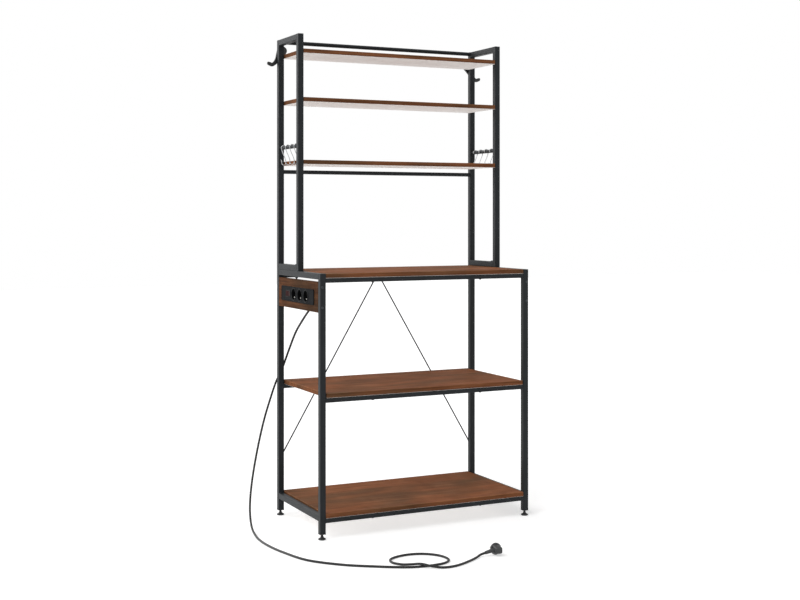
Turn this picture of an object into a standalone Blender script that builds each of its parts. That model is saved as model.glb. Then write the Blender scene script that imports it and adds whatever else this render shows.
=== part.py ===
# Kitchen shelf: a steel and board rack with a narrower hutch, a socket strip, hooks and a mains lead.
# Metres, +Z up. The origin is on the floor, midway between the four legs.
import math

import bmesh
import bpy
from mathutils import Matrix, Vector

# Driving sizes of the whole rack
WIDTH = 0.800                 # over the outer faces of the side frames
DEPTH = 0.400                 # over the front and back legs
HUTCH_DEPTH = 0.205           # over the hutch uprights, flush with the legs at the back
BASE_TOP = 0.874              # top of the side frames and of the counter board
HUTCH_TOP = 1.688             # top of the hutch frames
BOTTOM_BOARD_TOP = 0.085
MIDDLE_BOARD_TOP = 0.480
LOWER_SHELF_TOP = 1.256
CENTRE_SHELF_TOP = 1.471
UPPER_SHELF_TOP = 1.637
GAP = 0.0003                  # clearance between pieces that touch

# Steel tubes
TUBE = 0.020                  # square tube of legs, uprights and side rails
TUBE_WALL = 0.0012
TUBE_ROUND = 0.0018           # outer corner radius of the square tubes
RAIL = 0.015                  # square tube of the front and back rails
RAIL_WALL = 0.0010
LEG_END = 0.0205              # height of the legs' cut lower ends
LOW_SIDE_RAIL_TOP = 0.0795
HOOK_BAR_RADIUS = 0.0065
HOOK_BAR_HEIGHT = 1.304
BACK_BAR_RADIUS = 0.0070
BACK_BAR_WALL = 0.0010
HANGING_BAR_HEIGHT = 1.220
TOP_BAR_DROP = 0.007          # upper back bar's axis below the top of the hutch frames

# Boards
BOARD = 0.015                 # thickness of every board
BOARD_ROUND = 0.0008          # eased edges
MIDDLE_BOARD_INSET = 0.003    # the middle board's ends stop short of the legs by this
SHELF_BACK_INSET = 0.009      # the upper shelves' back edges lie this far in front of the back face

# Feet
FOOT_RADIUS = 0.01275
FOOT_RIM = 0.0035             # height of the disc's upright rim
FOOT_DOME = 0.0085            # height where the dome has run into the neck
STUD_RADIUS = 0.0040
STUD_TOP = 0.042
STUD_CLEARANCE = 0.0004
INSERT_FLANGE = 0.0020        # thickness of the plastic flange under the leg
INSERT_PROUD = 0.0006         # the flange stands out past the tube by this
INSERT_PLUG = 0.016           # length of the plug inside the leg

# Cross bracing at the back
ROD_RADIUS = 0.0024
ROD_EYE_RADIUS = 0.0060
ROD_EYE_THICK = 0.0020
ROD_EYE_STEP = 0.0002         # the round rod stands this much behind the eye's flat face
ROD_NECK_WIDTH = 0.0070       # flattened neck between the eye and the round rod
ROD_NECK_START = 0.0090       # where the round rod begins, from the eye's centre
ROD_NECK_END = 0.0150
ROD_LOW_HEIGHT = 0.1930       # screws on the back legs; one more holds both rods' upper eyes
BRACE_SCREW_RADIUS = 0.0020
BRACE_SCREW_REACH = 0.0080    # how far the shank goes into the tube

# Screws and bolts
SCREW_CLEARANCE = 0.0003
PANEL_SCREW_RADIUS = 0.0023
PANEL_SCREW_REACH = 0.022     # into the outlet board's end grain
PANEL_SCREW_RISE = 0.017      # lower screws above the outlet board's lower edge
PANEL_SCREW_DROP = 0.017      # upper screws below its upper edge
HEAD_RADIUS = 0.0046
HEAD_THICK = 0.0022
BOLT_RADIUS = 0.0030
BOLT_HEAD_RADIUS = 0.0060
BOLT_HEAD_THICK = 0.0032
BOLT_BACK = 0.1645            # from the rack's back face to the hutch bolts' axis

# Outlet board and socket strip between the left legs
OUTLET_DROP = 0.008           # open slot between the side rail and the outlet board
OUTLET_HEIGHT = 0.101
STRIP_MARGIN = 0.05275        # from the strip's ends to the legs' front and back faces
STRIP_HEIGHT = 0.0515
STRIP_DROP = 0.0018           # strip's centre line below the outlet board's middle
STRIP_PROUD = 0.0020          # the strip's flange stands on the board's face
STRIP_FLANGE = 0.0030         # width of that flange round the cutout
STRIP_CORNER = 0.0045
STRIP_DEPTH = 0.0260          # housing behind the board's inner face
STRIP_WALL = 0.0020
STRIP_FACE = 0.0035           # thickness of the strip's front wall
COVER_THICK = 0.0020
SOCKET_PITCH = 0.0545
SOCKET_SHIFT = -0.0220        # middle socket from the strip's middle
SOCKET_RADIUS = 0.0193        # bore of the round recess
SOCKET_WALL = 0.0014
SOCKET_DEPTH = 0.0170
SOCKET_FLOOR = 0.0030
PIN_SPACING = 0.0190
PIN_RADIUS = 0.0024
PIN_HOLE_RADIUS = 0.0028
EARTH_RADIUS = 0.0024
EARTH_DROP = 0.0100           # earth pin below the socket's middle
EARTH_SHORT = 0.0030          # its tip stops this far behind the strip's face
EARTH_HOLE_RADIUS = 0.0027    # matching hole in the plug's face
EARTH_HOLE_DEPTH = 0.0150
ROCKER_SHIFT = 0.0855         # rocker's axis from the strip's middle
ROCKER_LENGTH = 0.0340
ROCKER_HEIGHT = 0.0190
ROCKER_CLEARANCE = 0.0004
ROCKER_PIN_RADIUS = 0.0012
ROCKER_PIN_REACH = 0.0015
ROCKER_AXIS_DEPTH = 0.0020    # axis behind the strip's face
ROCKER_POCKET = 0.0090        # depth of the pocket that the rocker lies in
ROCKER_TILT = math.radians(7.0)

# Wire hooks on the two hook bars
WIRE_RADIUS = 0.0015
HOOK_CLEARANCE = 0.0003
HOOK_DROP = 0.0530            # from the bar's axis to the centre of the lower bend
HOOK_BEND_RADIUS = 0.0080     # centre line of the lower bend
HOOK_TIP_RISE = 0.0105
HOOK_TIP_FLARE = 0.0030
HOOK_SPACING = 0.0400
HOOK_COUNT = 4

# Clip hooks on the back uprights
CLIP_THICK = 0.0070
CLIP_DROP_LEFT = 0.037        # the hooks' pegs below the top of the hutch frames
CLIP_DROP_RIGHT = 0.055
CLIP_PEG_RADIUS = 0.0030
CLIP_PEG_REACH = 0.0080       # how far the peg goes into the upright
CLIP_PEG_CLEARANCE = 0.0002

# Mains lead, and its way out of the strip
CORD_RADIUS = 0.00375
GLAND_RADIUS = 0.0065
GLAND_END_RADIUS = 0.0050
GLAND_LENGTH = 0.034
GLAND_SLOPE = math.radians(32.6)
GLAND_X = -0.370
GLAND_Y = -0.0743
CORD_POINTS = 84
PLUG_FACE_RADIUS = 0.0185
PLUG_FACE_THICK = 0.0050
PLUG_BODY_WIDTH = 0.0260
PLUG_BODY_HEIGHT = 0.0300
PLUG_BODY_LENGTH = 0.0290
PLUG_TAPER = 0.78             # the block's width and height at its rear end, as shares
PLUG_HEIGHT_TAPER = 0.60
PLUG_PIN_LENGTH = 0.0190
PLUG_PIN_SEAT = 0.0040
PLUG_X = 0.0330
PLUG_Y = -0.5880
PLUG_YAW = math.radians(-6.0)
BOOT_LENGTH = 0.0340
BOOT_RADIUS = 0.0072
BOOT_END_RADIUS = 0.0052
BOOT_FALL = math.radians(13.0)

# Places worked out from the driving sizes
LEG_X = (WIDTH - TUBE) / 2
LEG_Y = (DEPTH - TUBE) / 2
INNER_X = WIDTH / 2 - TUBE
FRONT = -DEPTH / 2
BACK = DEPTH / 2
HUTCH_FRONT = BACK - HUTCH_DEPTH
HUTCH_Y = (HUTCH_FRONT + TUBE / 2, BACK - TUBE / 2)
HUTCH_LOW = BASE_TOP + GAP
TOP_BAR_HEIGHT = HUTCH_TOP - TOP_BAR_DROP
SIDE_RAIL_LOW = BASE_TOP - TUBE
BOLT_Y = BACK - BOLT_BACK
OUTLET_TOP = SIDE_RAIL_LOW - OUTLET_DROP
OUTLET_BOTTOM = OUTLET_TOP - OUTLET_HEIGHT
PANEL_SCREW_HEIGHTS = (OUTLET_BOTTOM + PANEL_SCREW_RISE, OUTLET_TOP - PANEL_SCREW_DROP)
STRIP_LENGTH = DEPTH - 2 * STRIP_MARGIN
STRIP_Z = (OUTLET_TOP + OUTLET_BOTTOM) / 2 - STRIP_DROP
STRIP_FRONT_X = -WIDTH / 2 - STRIP_PROUD
OUTLET_IN_X = -WIDTH / 2 + BOARD
PANEL_X = -WIDTH / 2 + BOARD / 2
HOUSING_IN_X = OUTLET_IN_X + STRIP_DEPTH
HOUSING_HALF_Y = STRIP_LENGTH / 2 - STRIP_FLANGE
HOUSING_HALF_Z = STRIP_HEIGHT / 2 - STRIP_FLANGE

# Objects of the whole scene go first, so that a second run starts clean
for old in list(bpy.data.objects):
    bpy.data.objects.remove(old, do_unlink=True)


def new_collection(name):
    group = bpy.data.collections.new(name)
    bpy.context.scene.collection.children.link(group)
    return group


PARTS = new_collection("kitchen_shelf")
CUTTERS = new_collection("kitchen_shelf_cutters")


def make_material(name, colour, roughness, metallic=0.0):
    finish = bpy.data.materials.new(name)
    finish.use_nodes = True
    shader = finish.node_tree.nodes["Principled BSDF"]
    shader.inputs["Base Color"].default_value = (*colour, 1.0)
    shader.inputs["Roughness"].default_value = roughness
    shader.inputs["Metallic"].default_value = metallic
    return finish


BLACK_STEEL = make_material("black_powder_coat", (0.030, 0.032, 0.034), 0.50, 0.0)
BOARD_FINISH = make_material("rustic_brown_board", (0.190, 0.085, 0.045), 0.55)
BLACK_PLASTIC = make_material("black_plastic", (0.020, 0.021, 0.022), 0.45)
GREY_PLASTIC = make_material("dark_grey_plastic", (0.045, 0.048, 0.052), 0.50)
RED_PLASTIC = make_material("red_plastic", (0.250, 0.020, 0.015), 0.35)
ZINC_STEEL = make_material("bright_zinc", (0.550, 0.550, 0.560), 0.35, 1.0)
CORD_RUBBER = make_material("black_cord", (0.012, 0.012, 0.013), 0.55)


def own_material(finish, name):
    copy = finish.copy()
    copy.name = f"{finish.name}_{name}"
    return copy


def place(name, mesh, finish, smooth=True):
    """Puts a mesh into the collection of parts, or among the cutters where no finish is given."""
    thing = bpy.data.objects.new(name, mesh)
    if finish is None:
        CUTTERS.objects.link(thing)
        thing.hide_render = True
        thing.display_type = "WIRE"
        return thing
    PARTS.objects.link(thing)
    mesh.materials.clear()
    mesh.materials.append(own_material(finish, name))
    if smooth:
        mesh.shade_smooth()
        mesh.set_sharp_from_angle(angle=math.radians(35))
    return thing


def finish_bmesh(work, name):
    work.normal_update()
    bmesh.ops.recalc_face_normals(work, faces=work.faces)
    mesh = bpy.data.meshes.new(name)
    work.to_mesh(mesh)
    work.free()
    return mesh


def box(name, low, high, finish=None, round_axes="", radius=0.0, segments=2):
    """A block between two corners; the edges along the named axes are rounded."""
    work = bmesh.new()
    bmesh.ops.create_cube(work, size=1.0)
    low, high = Vector(low), Vector(high)
    for vert in work.verts:
        vert.co = Vector((low[i] + (vert.co[i] + 0.5) * (high[i] - low[i]) for i in range(3)))
    if round_axes:
        chosen = []
        for edge in work.edges:
            along = (edge.verts[1].co - edge.verts[0].co).normalized()
            if any(abs(along["XYZ".index(letter)]) > 0.9 for letter in round_axes):
                chosen.append(edge)
        bmesh.ops.bevel(work, geom=chosen, offset=radius, segments=segments, profile=0.5, affect="EDGES")
    return place(name, finish_bmesh(work, name), finish)


def rod(name, start, end, radius, finish=None, end_radius=None, sides=24):
    """A round bar, or a cone where the end radius differs, from one point to another."""
    start, end = Vector(start), Vector(end)
    along = end - start
    work = bmesh.new()
    bmesh.ops.create_cone(work, cap_ends=True, segments=sides, radius1=radius,
                          radius2=radius if end_radius is None else end_radius, depth=along.length)
    turn = along.to_track_quat("Z", "Y").to_matrix().to_4x4()
    bmesh.ops.transform(work, matrix=Matrix.Translation((start + end) / 2) @ turn, verts=work.verts)
    return place(name, finish_bmesh(work, name), finish)


def turned(name, profile, finish, steps=24, spot=(0, 0, 0), turn=None):
    """A turned piece: the profile of (radius, height) runs down its outer side, about +Z."""
    work = bmesh.new()
    verts = [work.verts.new((radius, 0, height)) for radius, height in profile]
    for first, second in zip(verts, verts[1:]):
        work.edges.new((first, second))
    mesh = bpy.data.meshes.new(name)
    work.to_mesh(mesh)
    work.free()
    thing = place(name, mesh, finish)
    thing.location = spot
    if turn is not None:
        thing.rotation_euler = turn
    screw = thing.modifiers.new("turned", "SCREW")
    screw.steps = steps
    screw.render_steps = steps
    screw.use_merge_vertices = True
    screw.merge_threshold = 0.00001
    screw.use_smooth_shade = True
    return thing


def combine(target, tool, operation):
    step = target.modifiers.new(tool.name, "BOOLEAN")
    step.operation = operation
    step.object = tool
    step.solver = "EXACT"
    return target


def join(target, *tools):
    for tool in tools:
        combine(target, tool, "UNION")
    return target


def cut(target, *tools):
    for tool in tools:
        combine(target, tool, "DIFFERENCE")
    return target


def curve_to_mesh(curve_object, name, finish):
    """The evaluated curve as a closed mesh, with its loose caps welded on."""
    bpy.context.view_layer.update()
    graph = bpy.context.evaluated_depsgraph_get()
    mesh = bpy.data.meshes.new_from_object(curve_object.evaluated_get(graph))
    mesh.transform(curve_object.matrix_world)
    work = bmesh.new()
    work.from_mesh(mesh)
    bmesh.ops.remove_doubles(work, verts=work.verts, dist=0.00002)
    bmesh.ops.recalc_face_normals(work, faces=work.faces)
    work.to_mesh(mesh)
    work.free()
    mesh.name = name
    bpy.data.objects.remove(curve_object, do_unlink=True)
    return place(name, mesh, finish)


def wire(name, points, radius, finish, resolution):
    """A round wire through the points, open at neither end."""
    curve = bpy.data.curves.new(name, "CURVE")
    curve.dimensions = "3D"
    curve.bevel_depth = radius
    curve.bevel_resolution = resolution
    curve.use_fill_caps = True
    line = curve.splines.new("POLY")
    line.points.add(len(points) - 1)
    for knot, point in zip(line.points, points):
        knot.co = (*point, 1.0)
    thing = bpy.data.objects.new(name, curve)
    bpy.context.scene.collection.objects.link(thing)
    return curve_to_mesh(thing, name, finish)


def tube_walls(low, high, wall, axis, run_out):
    """The inner space of a square tube between two corners, run out past both ends along the axis."""
    low, high = Vector(low), Vector(high)
    for i in range(3):
        step = -run_out if i == axis else wall
        low[i] += step
        high[i] -= step
    return low, high


# Base side frames: two legs and two side rails welded into one piece, hollow throughout.
def base_frame(name, side):
    centre = side * LEG_X
    x_range = (centre - TUBE / 2, centre + TUBE / 2)
    tubes, hollows = [], []
    for spot, y in (("front", -LEG_Y), ("back", LEG_Y)):
        low = (x_range[0], y - TUBE / 2, LEG_END)
        high = (x_range[1], y + TUBE / 2, BASE_TOP)
        inner_low = (low[0] + TUBE_WALL, low[1] + TUBE_WALL, low[2] - 0.005)
        inner_high = (high[0] - TUBE_WALL, high[1] - TUBE_WALL, high[2] - TUBE_WALL)
        finish = BLACK_STEEL if spot == "front" else None
        label = name if spot == "front" else f"{name}_{spot}_leg"
        tubes.append(box(label, low, high, finish, "Z", TUBE_ROUND))
        hollows.append(box(f"{name}_{spot}_leg_hollow", inner_low, inner_high))
    for spot, top in (("low", LOW_SIDE_RAIL_TOP), ("high", BASE_TOP)):
        low = (x_range[0], -LEG_Y, top - TUBE)
        high = (x_range[1], LEG_Y, top)
        tubes.append(box(f"{name}_{spot}_rail", low, high, None, "Y", TUBE_ROUND))
        wall = TUBE_WALL * 1.05
        hollow = ((low[0] + wall, low[1], low[2] + wall), (high[0] - wall, high[1], high[2] - wall))
        hollows.append(box(f"{name}_{spot}_rail_hollow", *hollow))
    frame = join(tubes[0], *tubes[1:])
    cut(frame, *hollows)
    bolt = BOLT_RADIUS + SCREW_CLEARANCE
    cut(frame, rod(f"{name}_bolt_hole", (centre, BOLT_Y, SIDE_RAIL_LOW - 0.01),
                   (centre, BOLT_Y, BASE_TOP + 0.01), bolt, sides=16))
    screw = BRACE_SCREW_RADIUS + SCREW_CLEARANCE
    cut(frame, rod(f"{name}_brace_hole", (centre, BACK - TUBE / 2, ROD_LOW_HEIGHT),
                   (centre, BACK + 0.01, ROD_LOW_HEIGHT), screw, sides=12))
    if side < 0:
        screw = PANEL_SCREW_RADIUS + SCREW_CLEARANCE
        for i, height in enumerate(PANEL_SCREW_HEIGHTS):
            for spot, y in (("front", -LEG_Y), ("back", LEG_Y)):
                reach = TUBE / 2 + 0.01
                cut(frame, rod(f"{name}_panel_hole_{spot}_{i}", (PANEL_X, y - reach, height),
                               (PANEL_X, y + reach, height), screw, sides=12))
    return frame


base_frame("base_frame_left", -1)
base_frame("base_frame_right", 1)


# Front and back rails under the three lower boards, square tubes open at both ends.
def cross_rail(name, board_top, y_face, towards_middle):
    top = board_top - BOARD - GAP
    y_other = y_face + towards_middle * RAIL
    low = (-INNER_X + GAP, min(y_face, y_other), top - RAIL)
    high = (INNER_X - GAP, max(y_face, y_other), top)
    rail = box(name, low, high, BLACK_STEEL, "X", TUBE_ROUND)
    cut(rail, box(f"{name}_hollow", *tube_walls(low, high, RAIL_WALL, 0, 0.005)))
    return rail


for level, height in (("bottom", BOTTOM_BOARD_TOP), ("middle", MIDDLE_BOARD_TOP), ("counter", BASE_TOP)):
    cross_rail(f"{level}_rail_front", height, FRONT, 1)
    back_rail = cross_rail(f"{level}_rail_back", height, BACK, -1)
ROD_TOP_HEIGHT = BASE_TOP - BOARD - GAP - RAIL / 2
cut(back_rail, rod("counter_rail_brace_hole", (0, BACK - RAIL / 2, ROD_TOP_HEIGHT),
                   (0, BACK + 0.01, ROD_TOP_HEIGHT), BRACE_SCREW_RADIUS + SCREW_CLEARANCE, sides=12))


# Boards of the base: they lie on the rails, between the side frames.
def board(name, half_x, y_front, y_back, top):
    low = (-half_x, y_front, top - BOARD)
    high = (half_x, y_back, top)
    return box(name, low, high, BOARD_FINISH, "XYZ", BOARD_ROUND)


board("bottom_board", INNER_X - GAP, FRONT, BACK, BOTTOM_BOARD_TOP)
board("middle_board", INNER_X - MIDDLE_BOARD_INSET, FRONT, BACK, MIDDLE_BOARD_TOP)
board("counter_board", INNER_X - GAP, FRONT, BACK, BASE_TOP)


# Hutch side frames: two uprights, a rail at each end and the round hook bar, welded, hollow.
def hutch_frame(name, side):
    centre = side * LEG_X
    x_range = (centre - TUBE / 2, centre + TUBE / 2)
    tubes, hollows = [], []
    for spot, y in zip(("front", "back"), HUTCH_Y):
        low = (x_range[0], y - TUBE / 2, HUTCH_LOW)
        high = (x_range[1], y + TUBE / 2, HUTCH_TOP)
        inner_low = tuple(value + TUBE_WALL for value in low)
        inner_high = tuple(value - TUBE_WALL for value in high)
        finish = BLACK_STEEL if spot == "front" else None
        label = name if spot == "front" else f"{name}_{spot}_upright"
        tubes.append(box(label, low, high, finish, "Z", TUBE_ROUND))
        hollows.append(box(f"{name}_{spot}_hollow", inner_low, inner_high))
    for spot, bottom in (("low", HUTCH_LOW), ("high", HUTCH_TOP - TUBE)):
        low = (x_range[0], HUTCH_Y[0], bottom)
        high = (x_range[1], HUTCH_Y[1], bottom + TUBE)
        tubes.append(box(f"{name}_{spot}_rail", low, high, None, "Y", TUBE_ROUND))
        wall = TUBE_WALL * 1.05
        hollow = ((low[0] + wall, low[1], low[2] + wall), (high[0] - wall, high[1], high[2] - wall))
        hollows.append(box(f"{name}_{spot}_rail_hollow", *hollow))
    ends = [(centre, y, HOOK_BAR_HEIGHT) for y in HUTCH_Y]
    tubes.append(rod(f"{name}_hook_bar", *ends, HOOK_BAR_RADIUS, sides=26))
    hollows.append(rod(f"{name}_hook_bar_hollow", *ends, HOOK_BAR_RADIUS - BACK_BAR_WALL, sides=16))
    frame = join(tubes[0], *tubes[1:])
    cut(frame, join(hollows[0], *hollows[1:]))
    cut(frame, rod(f"{name}_bolt_hole", (centre, BOLT_Y, HUTCH_LOW - 0.01),
                   (centre, BOLT_Y, HUTCH_LOW + TUBE + 0.01), BOLT_RADIUS + SCREW_CLEARANCE, sides=16))
    height = HUTCH_TOP - (CLIP_DROP_LEFT if side < 0 else CLIP_DROP_RIGHT)
    return cut(frame, rod(f"{name}_clip_hole", (centre, BACK - TUBE / 2, height),
                          (centre, BACK + 0.01, height), CLIP_PEG_RADIUS + CLIP_PEG_CLEARANCE, sides=16))


hutch_frame("hutch_frame_left", -1)
hutch_frame("hutch_frame_right", 1)


# Round bars between the back uprights, open tubes.
def back_bar(name, height):
    ends = [(x, HUTCH_Y[1], height) for x in (-INNER_X + GAP, INNER_X - GAP)]
    longer = [(x, HUTCH_Y[1], height) for x in (-INNER_X - 0.005, INNER_X + 0.005)]
    bar = rod(name, *ends, BACK_BAR_RADIUS, BLACK_STEEL)
    return cut(bar, rod(f"{name}_hollow", *longer, BACK_BAR_RADIUS - BACK_BAR_WALL, sides=16))


back_bar("hanging_back_bar", HANGING_BAR_HEIGHT)
back_bar("top_back_bar", TOP_BAR_HEIGHT)

# The three shelves of the hutch, between its uprights.
for name, height in (("lower_shelf", LOWER_SHELF_TOP), ("centre_shelf", CENTRE_SHELF_TOP),
                     ("upper_shelf", UPPER_SHELF_TOP)):
    board(name, INNER_X - GAP, HUTCH_FRONT, BACK - SHELF_BACK_INSET, height)


# Fasteners: a round head seated on a face, with its shank going in along the given direction.
def fastener(name, seat, direction, reach, radius, head_radius, head_thick, finish):
    seat, direction = Vector(seat), Vector(direction)
    face = seat - direction * GAP
    screw = rod(name, face - direction * head_thick, face, head_radius * 0.8, finish,
                end_radius=head_radius, sides=16)
    shank = rod(f"{name}_shank", face - direction * head_thick / 2, seat + direction * reach, radius, sides=12)
    return join(screw, shank)


for side, label in ((-1, "left"), (1, "right")):
    fastener(f"hutch_bolt_{label}", (side * LEG_X, BOLT_Y, HUTCH_LOW + TUBE), (0, 0, -1),
             HUTCH_LOW + TUBE - OUTLET_TOP - GAP, BOLT_RADIUS, BOLT_HEAD_RADIUS, BOLT_HEAD_THICK, BLACK_STEEL)
for i, height in enumerate(PANEL_SCREW_HEIGHTS):
    for spot, face, inwards in (("front", FRONT, 1), ("back", BACK, -1)):
        fastener(f"outlet_screw_{spot}_{i + 1}", (PANEL_X, face, height), (0, inwards, 0),
                 TUBE + PANEL_SCREW_REACH, PANEL_SCREW_RADIUS, HEAD_RADIUS, HEAD_THICK, BLACK_STEEL)


# Brace rods: a round rod flattened to a neck and an eye at each end. The low eyes are screwed to the
# back legs, and one screw holds both upper eyes, one behind the other, on the counter's back rail.
def neck(name, near, along):
    half = ROD_NECK_WIDTH / 2
    strap = box(name, (-half, 0, 0), (half, ROD_EYE_THICK, ROD_NECK_END))
    turn = Matrix.Rotation(math.atan2(along.x, along.z), 4, "Y")
    strap.data.transform(Matrix.Translation(near) @ turn)
    return strap


def brace_rod(label, side, top_layer):
    name = f"brace_rod_{label}"
    layer = GAP + ROD_EYE_THICK
    ends = {"low": Vector((side * LEG_X, BACK + GAP, ROD_LOW_HEIGHT)),
            "top": Vector((0, BACK + GAP + top_layer * layer, ROD_TOP_HEIGHT))}
    along = (ends["top"] - ends["low"]).normalized()
    shift = Vector((0, ROD_EYE_STEP + ROD_RADIUS, 0))
    start = along * ROD_NECK_START
    bar = rod(name, ends["low"] + start + shift, ends["top"] - start + shift, ROD_RADIUS,
              BLACK_STEEL, sides=12)
    for spot, near in ends.items():
        way = along if spot == "low" else -along
        eye = rod(f"{name}_{spot}_eye", near, near + Vector((0, ROD_EYE_THICK, 0)), ROD_EYE_RADIUS, sides=20)
        join(bar, neck(f"{name}_{spot}_neck", near, way), eye)
    for spot, near in ends.items():
        reach = Vector((0, 0.010, 0))
        cut(bar, rod(f"{name}_{spot}_hole", near - reach, near + reach,
                     BRACE_SCREW_RADIUS + SCREW_CLEARANCE, sides=12))
    return ends


def brace_screw(name, face, layers):
    seat = Vector((face.x, BACK + layers * (GAP + ROD_EYE_THICK), face.z))
    fastener(name, seat, (0, -1, 0), seat.y - BACK + BRACE_SCREW_REACH,
             BRACE_SCREW_RADIUS, HEAD_RADIUS, HEAD_THICK, ZINC_STEEL)


brace_screw("brace_screw_left", brace_rod("left", -1, 0)["low"], 1)
right_ends = brace_rod("right", 1, 1)
brace_screw("brace_screw_right", right_ends["low"], 1)
brace_screw("brace_screw_middle", right_ends["top"], 2)

# Levelling feet: a moulded disc on a threaded stud, screwed into a plastic insert in the leg's end.
FOOT_PROFILE = [
    (0.0, STUD_TOP),
    (STUD_RADIUS - 0.0008, STUD_TOP),
    (STUD_RADIUS, STUD_TOP - 0.0008),
    (STUD_RADIUS, FOOT_DOME + 0.0020),
    (STUD_RADIUS + 0.0012, FOOT_DOME),
    (FOOT_RADIUS * 0.62, FOOT_RIM + 0.0032),
    (FOOT_RADIUS * 0.88, FOOT_RIM + 0.0016),
    (FOOT_RADIUS, FOOT_RIM),
    (FOOT_RADIUS, 0.0010),
    (FOOT_RADIUS - 0.0010, 0.0),
    (0.0, 0.0),
]


def leg_insert(name, x, y):
    top = LEG_END - GAP
    half = TUBE / 2 + INSERT_PROUD
    flange = box(name, (x - half, y - half, top - INSERT_FLANGE), (x + half, y + half, top),
                 BLACK_PLASTIC, "Z", TUBE_ROUND)
    inner = TUBE / 2 - TUBE_WALL - GAP
    join(flange, box(f"{name}_plug", (x - inner, y - inner, top - INSERT_FLANGE / 2),
                     (x + inner, y + inner, LEG_END + INSERT_PLUG), None, "Z", TUBE_ROUND / 2))
    return cut(flange, rod(f"{name}_bore", (x, y, top - INSERT_FLANGE - 0.005),
                           (x, y, LEG_END + INSERT_PLUG + 0.005), STUD_RADIUS + STUD_CLEARANCE, sides=24))


for row, y in (("front", -LEG_Y), ("back", LEG_Y)):
    for label, x in (("left", -LEG_X), ("right", LEG_X)):
        turned(f"foot_{row}_{label}", FOOT_PROFILE, BLACK_PLASTIC, 24, (x, y, 0))
        leg_insert(f"leg_insert_{row}_{label}", x, y)

# Outlet board between the left legs, cut out for the socket strip and drilled in its ends.
outlet = box("outlet_board", (-WIDTH / 2, FRONT + TUBE + GAP, OUTLET_BOTTOM),
             (OUTLET_IN_X, BACK - TUBE - GAP, OUTLET_TOP), BOARD_FINISH, "XYZ", BOARD_ROUND)
cut(outlet, box("outlet_cutout", (-WIDTH / 2 - 0.01, -HOUSING_HALF_Y - GAP, STRIP_Z - HOUSING_HALF_Z - GAP),
                (OUTLET_IN_X + 0.01, HOUSING_HALF_Y + GAP, STRIP_Z + HOUSING_HALF_Z + GAP)))
for i, height in enumerate(PANEL_SCREW_HEIGHTS):
    for spot, y, inwards in (("front", FRONT + TUBE, 1), ("back", BACK - TUBE, -1)):
        cut(outlet, rod(f"outlet_pilot_{spot}_{i}", (PANEL_X, y - inwards * 0.005, height),
                        (PANEL_X, y + inwards * (PANEL_SCREW_REACH + 0.001), height),
                        PANEL_SCREW_RADIUS + SCREW_CLEARANCE, sides=12))

# Strip housing: a flanged face and a shell behind it, open at the back for the cover.
SOCKET_OUTER = SOCKET_RADIUS + SOCKET_WALL
SOCKET_YS = [SOCKET_SHIFT + (i - 1) * SOCKET_PITCH for i in range(3)]
HOUSING_BACK_X = HOUSING_IN_X - COVER_THICK - GAP
housing = box("strip_housing", (STRIP_FRONT_X, -STRIP_LENGTH / 2, STRIP_Z - STRIP_HEIGHT / 2),
              (-WIDTH / 2 - GAP, STRIP_LENGTH / 2, STRIP_Z + STRIP_HEIGHT / 2),
              GREY_PLASTIC, "X", STRIP_CORNER, 4)
join(housing, box("strip_shell", (STRIP_FRONT_X + STRIP_PROUD / 2, -HOUSING_HALF_Y, STRIP_Z - HOUSING_HALF_Z),
                  (HOUSING_BACK_X, HOUSING_HALF_Y, STRIP_Z + HOUSING_HALF_Z)))
pocket_half_y = ROCKER_LENGTH / 2 + 2 * ROCKER_CLEARANCE
pocket_half_z = ROCKER_HEIGHT / 2 + ROCKER_CLEARANCE
pocket_floor = STRIP_FRONT_X + ROCKER_POCKET
cut(housing, box("strip_hollow", (STRIP_FRONT_X + STRIP_FACE, -HOUSING_HALF_Y + STRIP_WALL,
                                  STRIP_Z - HOUSING_HALF_Z + STRIP_WALL),
                 (HOUSING_BACK_X + 0.01, HOUSING_HALF_Y - STRIP_WALL, STRIP_Z + HOUSING_HALF_Z - STRIP_WALL)))
wall = STRIP_WALL
join(housing, box("rocker_case", (STRIP_FRONT_X + STRIP_FACE / 2, ROCKER_SHIFT - pocket_half_y - wall,
                                  STRIP_Z - pocket_half_z - wall),
                  (pocket_floor + wall, ROCKER_SHIFT + pocket_half_y + wall, STRIP_Z + pocket_half_z + wall)))
cut(housing, box("rocker_pocket", (STRIP_FRONT_X - 0.005, ROCKER_SHIFT - pocket_half_y, STRIP_Z - pocket_half_z),
                 (pocket_floor, ROCKER_SHIFT + pocket_half_y, STRIP_Z + pocket_half_z)))
rocker_x = STRIP_FRONT_X + ROCKER_AXIS_DEPTH
pin_reach = ROCKER_HEIGHT / 2 + ROCKER_PIN_REACH
cut(housing, rod("rocker_pin_hole", (rocker_x, ROCKER_SHIFT, STRIP_Z - pin_reach - GAP),
                 (rocker_x, ROCKER_SHIFT, STRIP_Z + pin_reach + GAP), ROCKER_PIN_RADIUS + GAP, sides=12))
for i, y in enumerate(SOCKET_YS):
    cut(housing, rod(f"socket_hole_{i}", (STRIP_FRONT_X - 0.01, y, STRIP_Z),
                     (STRIP_FRONT_X + STRIP_FACE + 0.01, y, STRIP_Z), SOCKET_OUTER + GAP, sides=32))
box("strip_cover", (HOUSING_BACK_X + GAP, -HOUSING_HALF_Y, STRIP_Z - HOUSING_HALF_Z),
    (HOUSING_IN_X, HOUSING_HALF_Y, STRIP_Z + HOUSING_HALF_Z), GREY_PLASTIC, "X", 0.0015)


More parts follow.
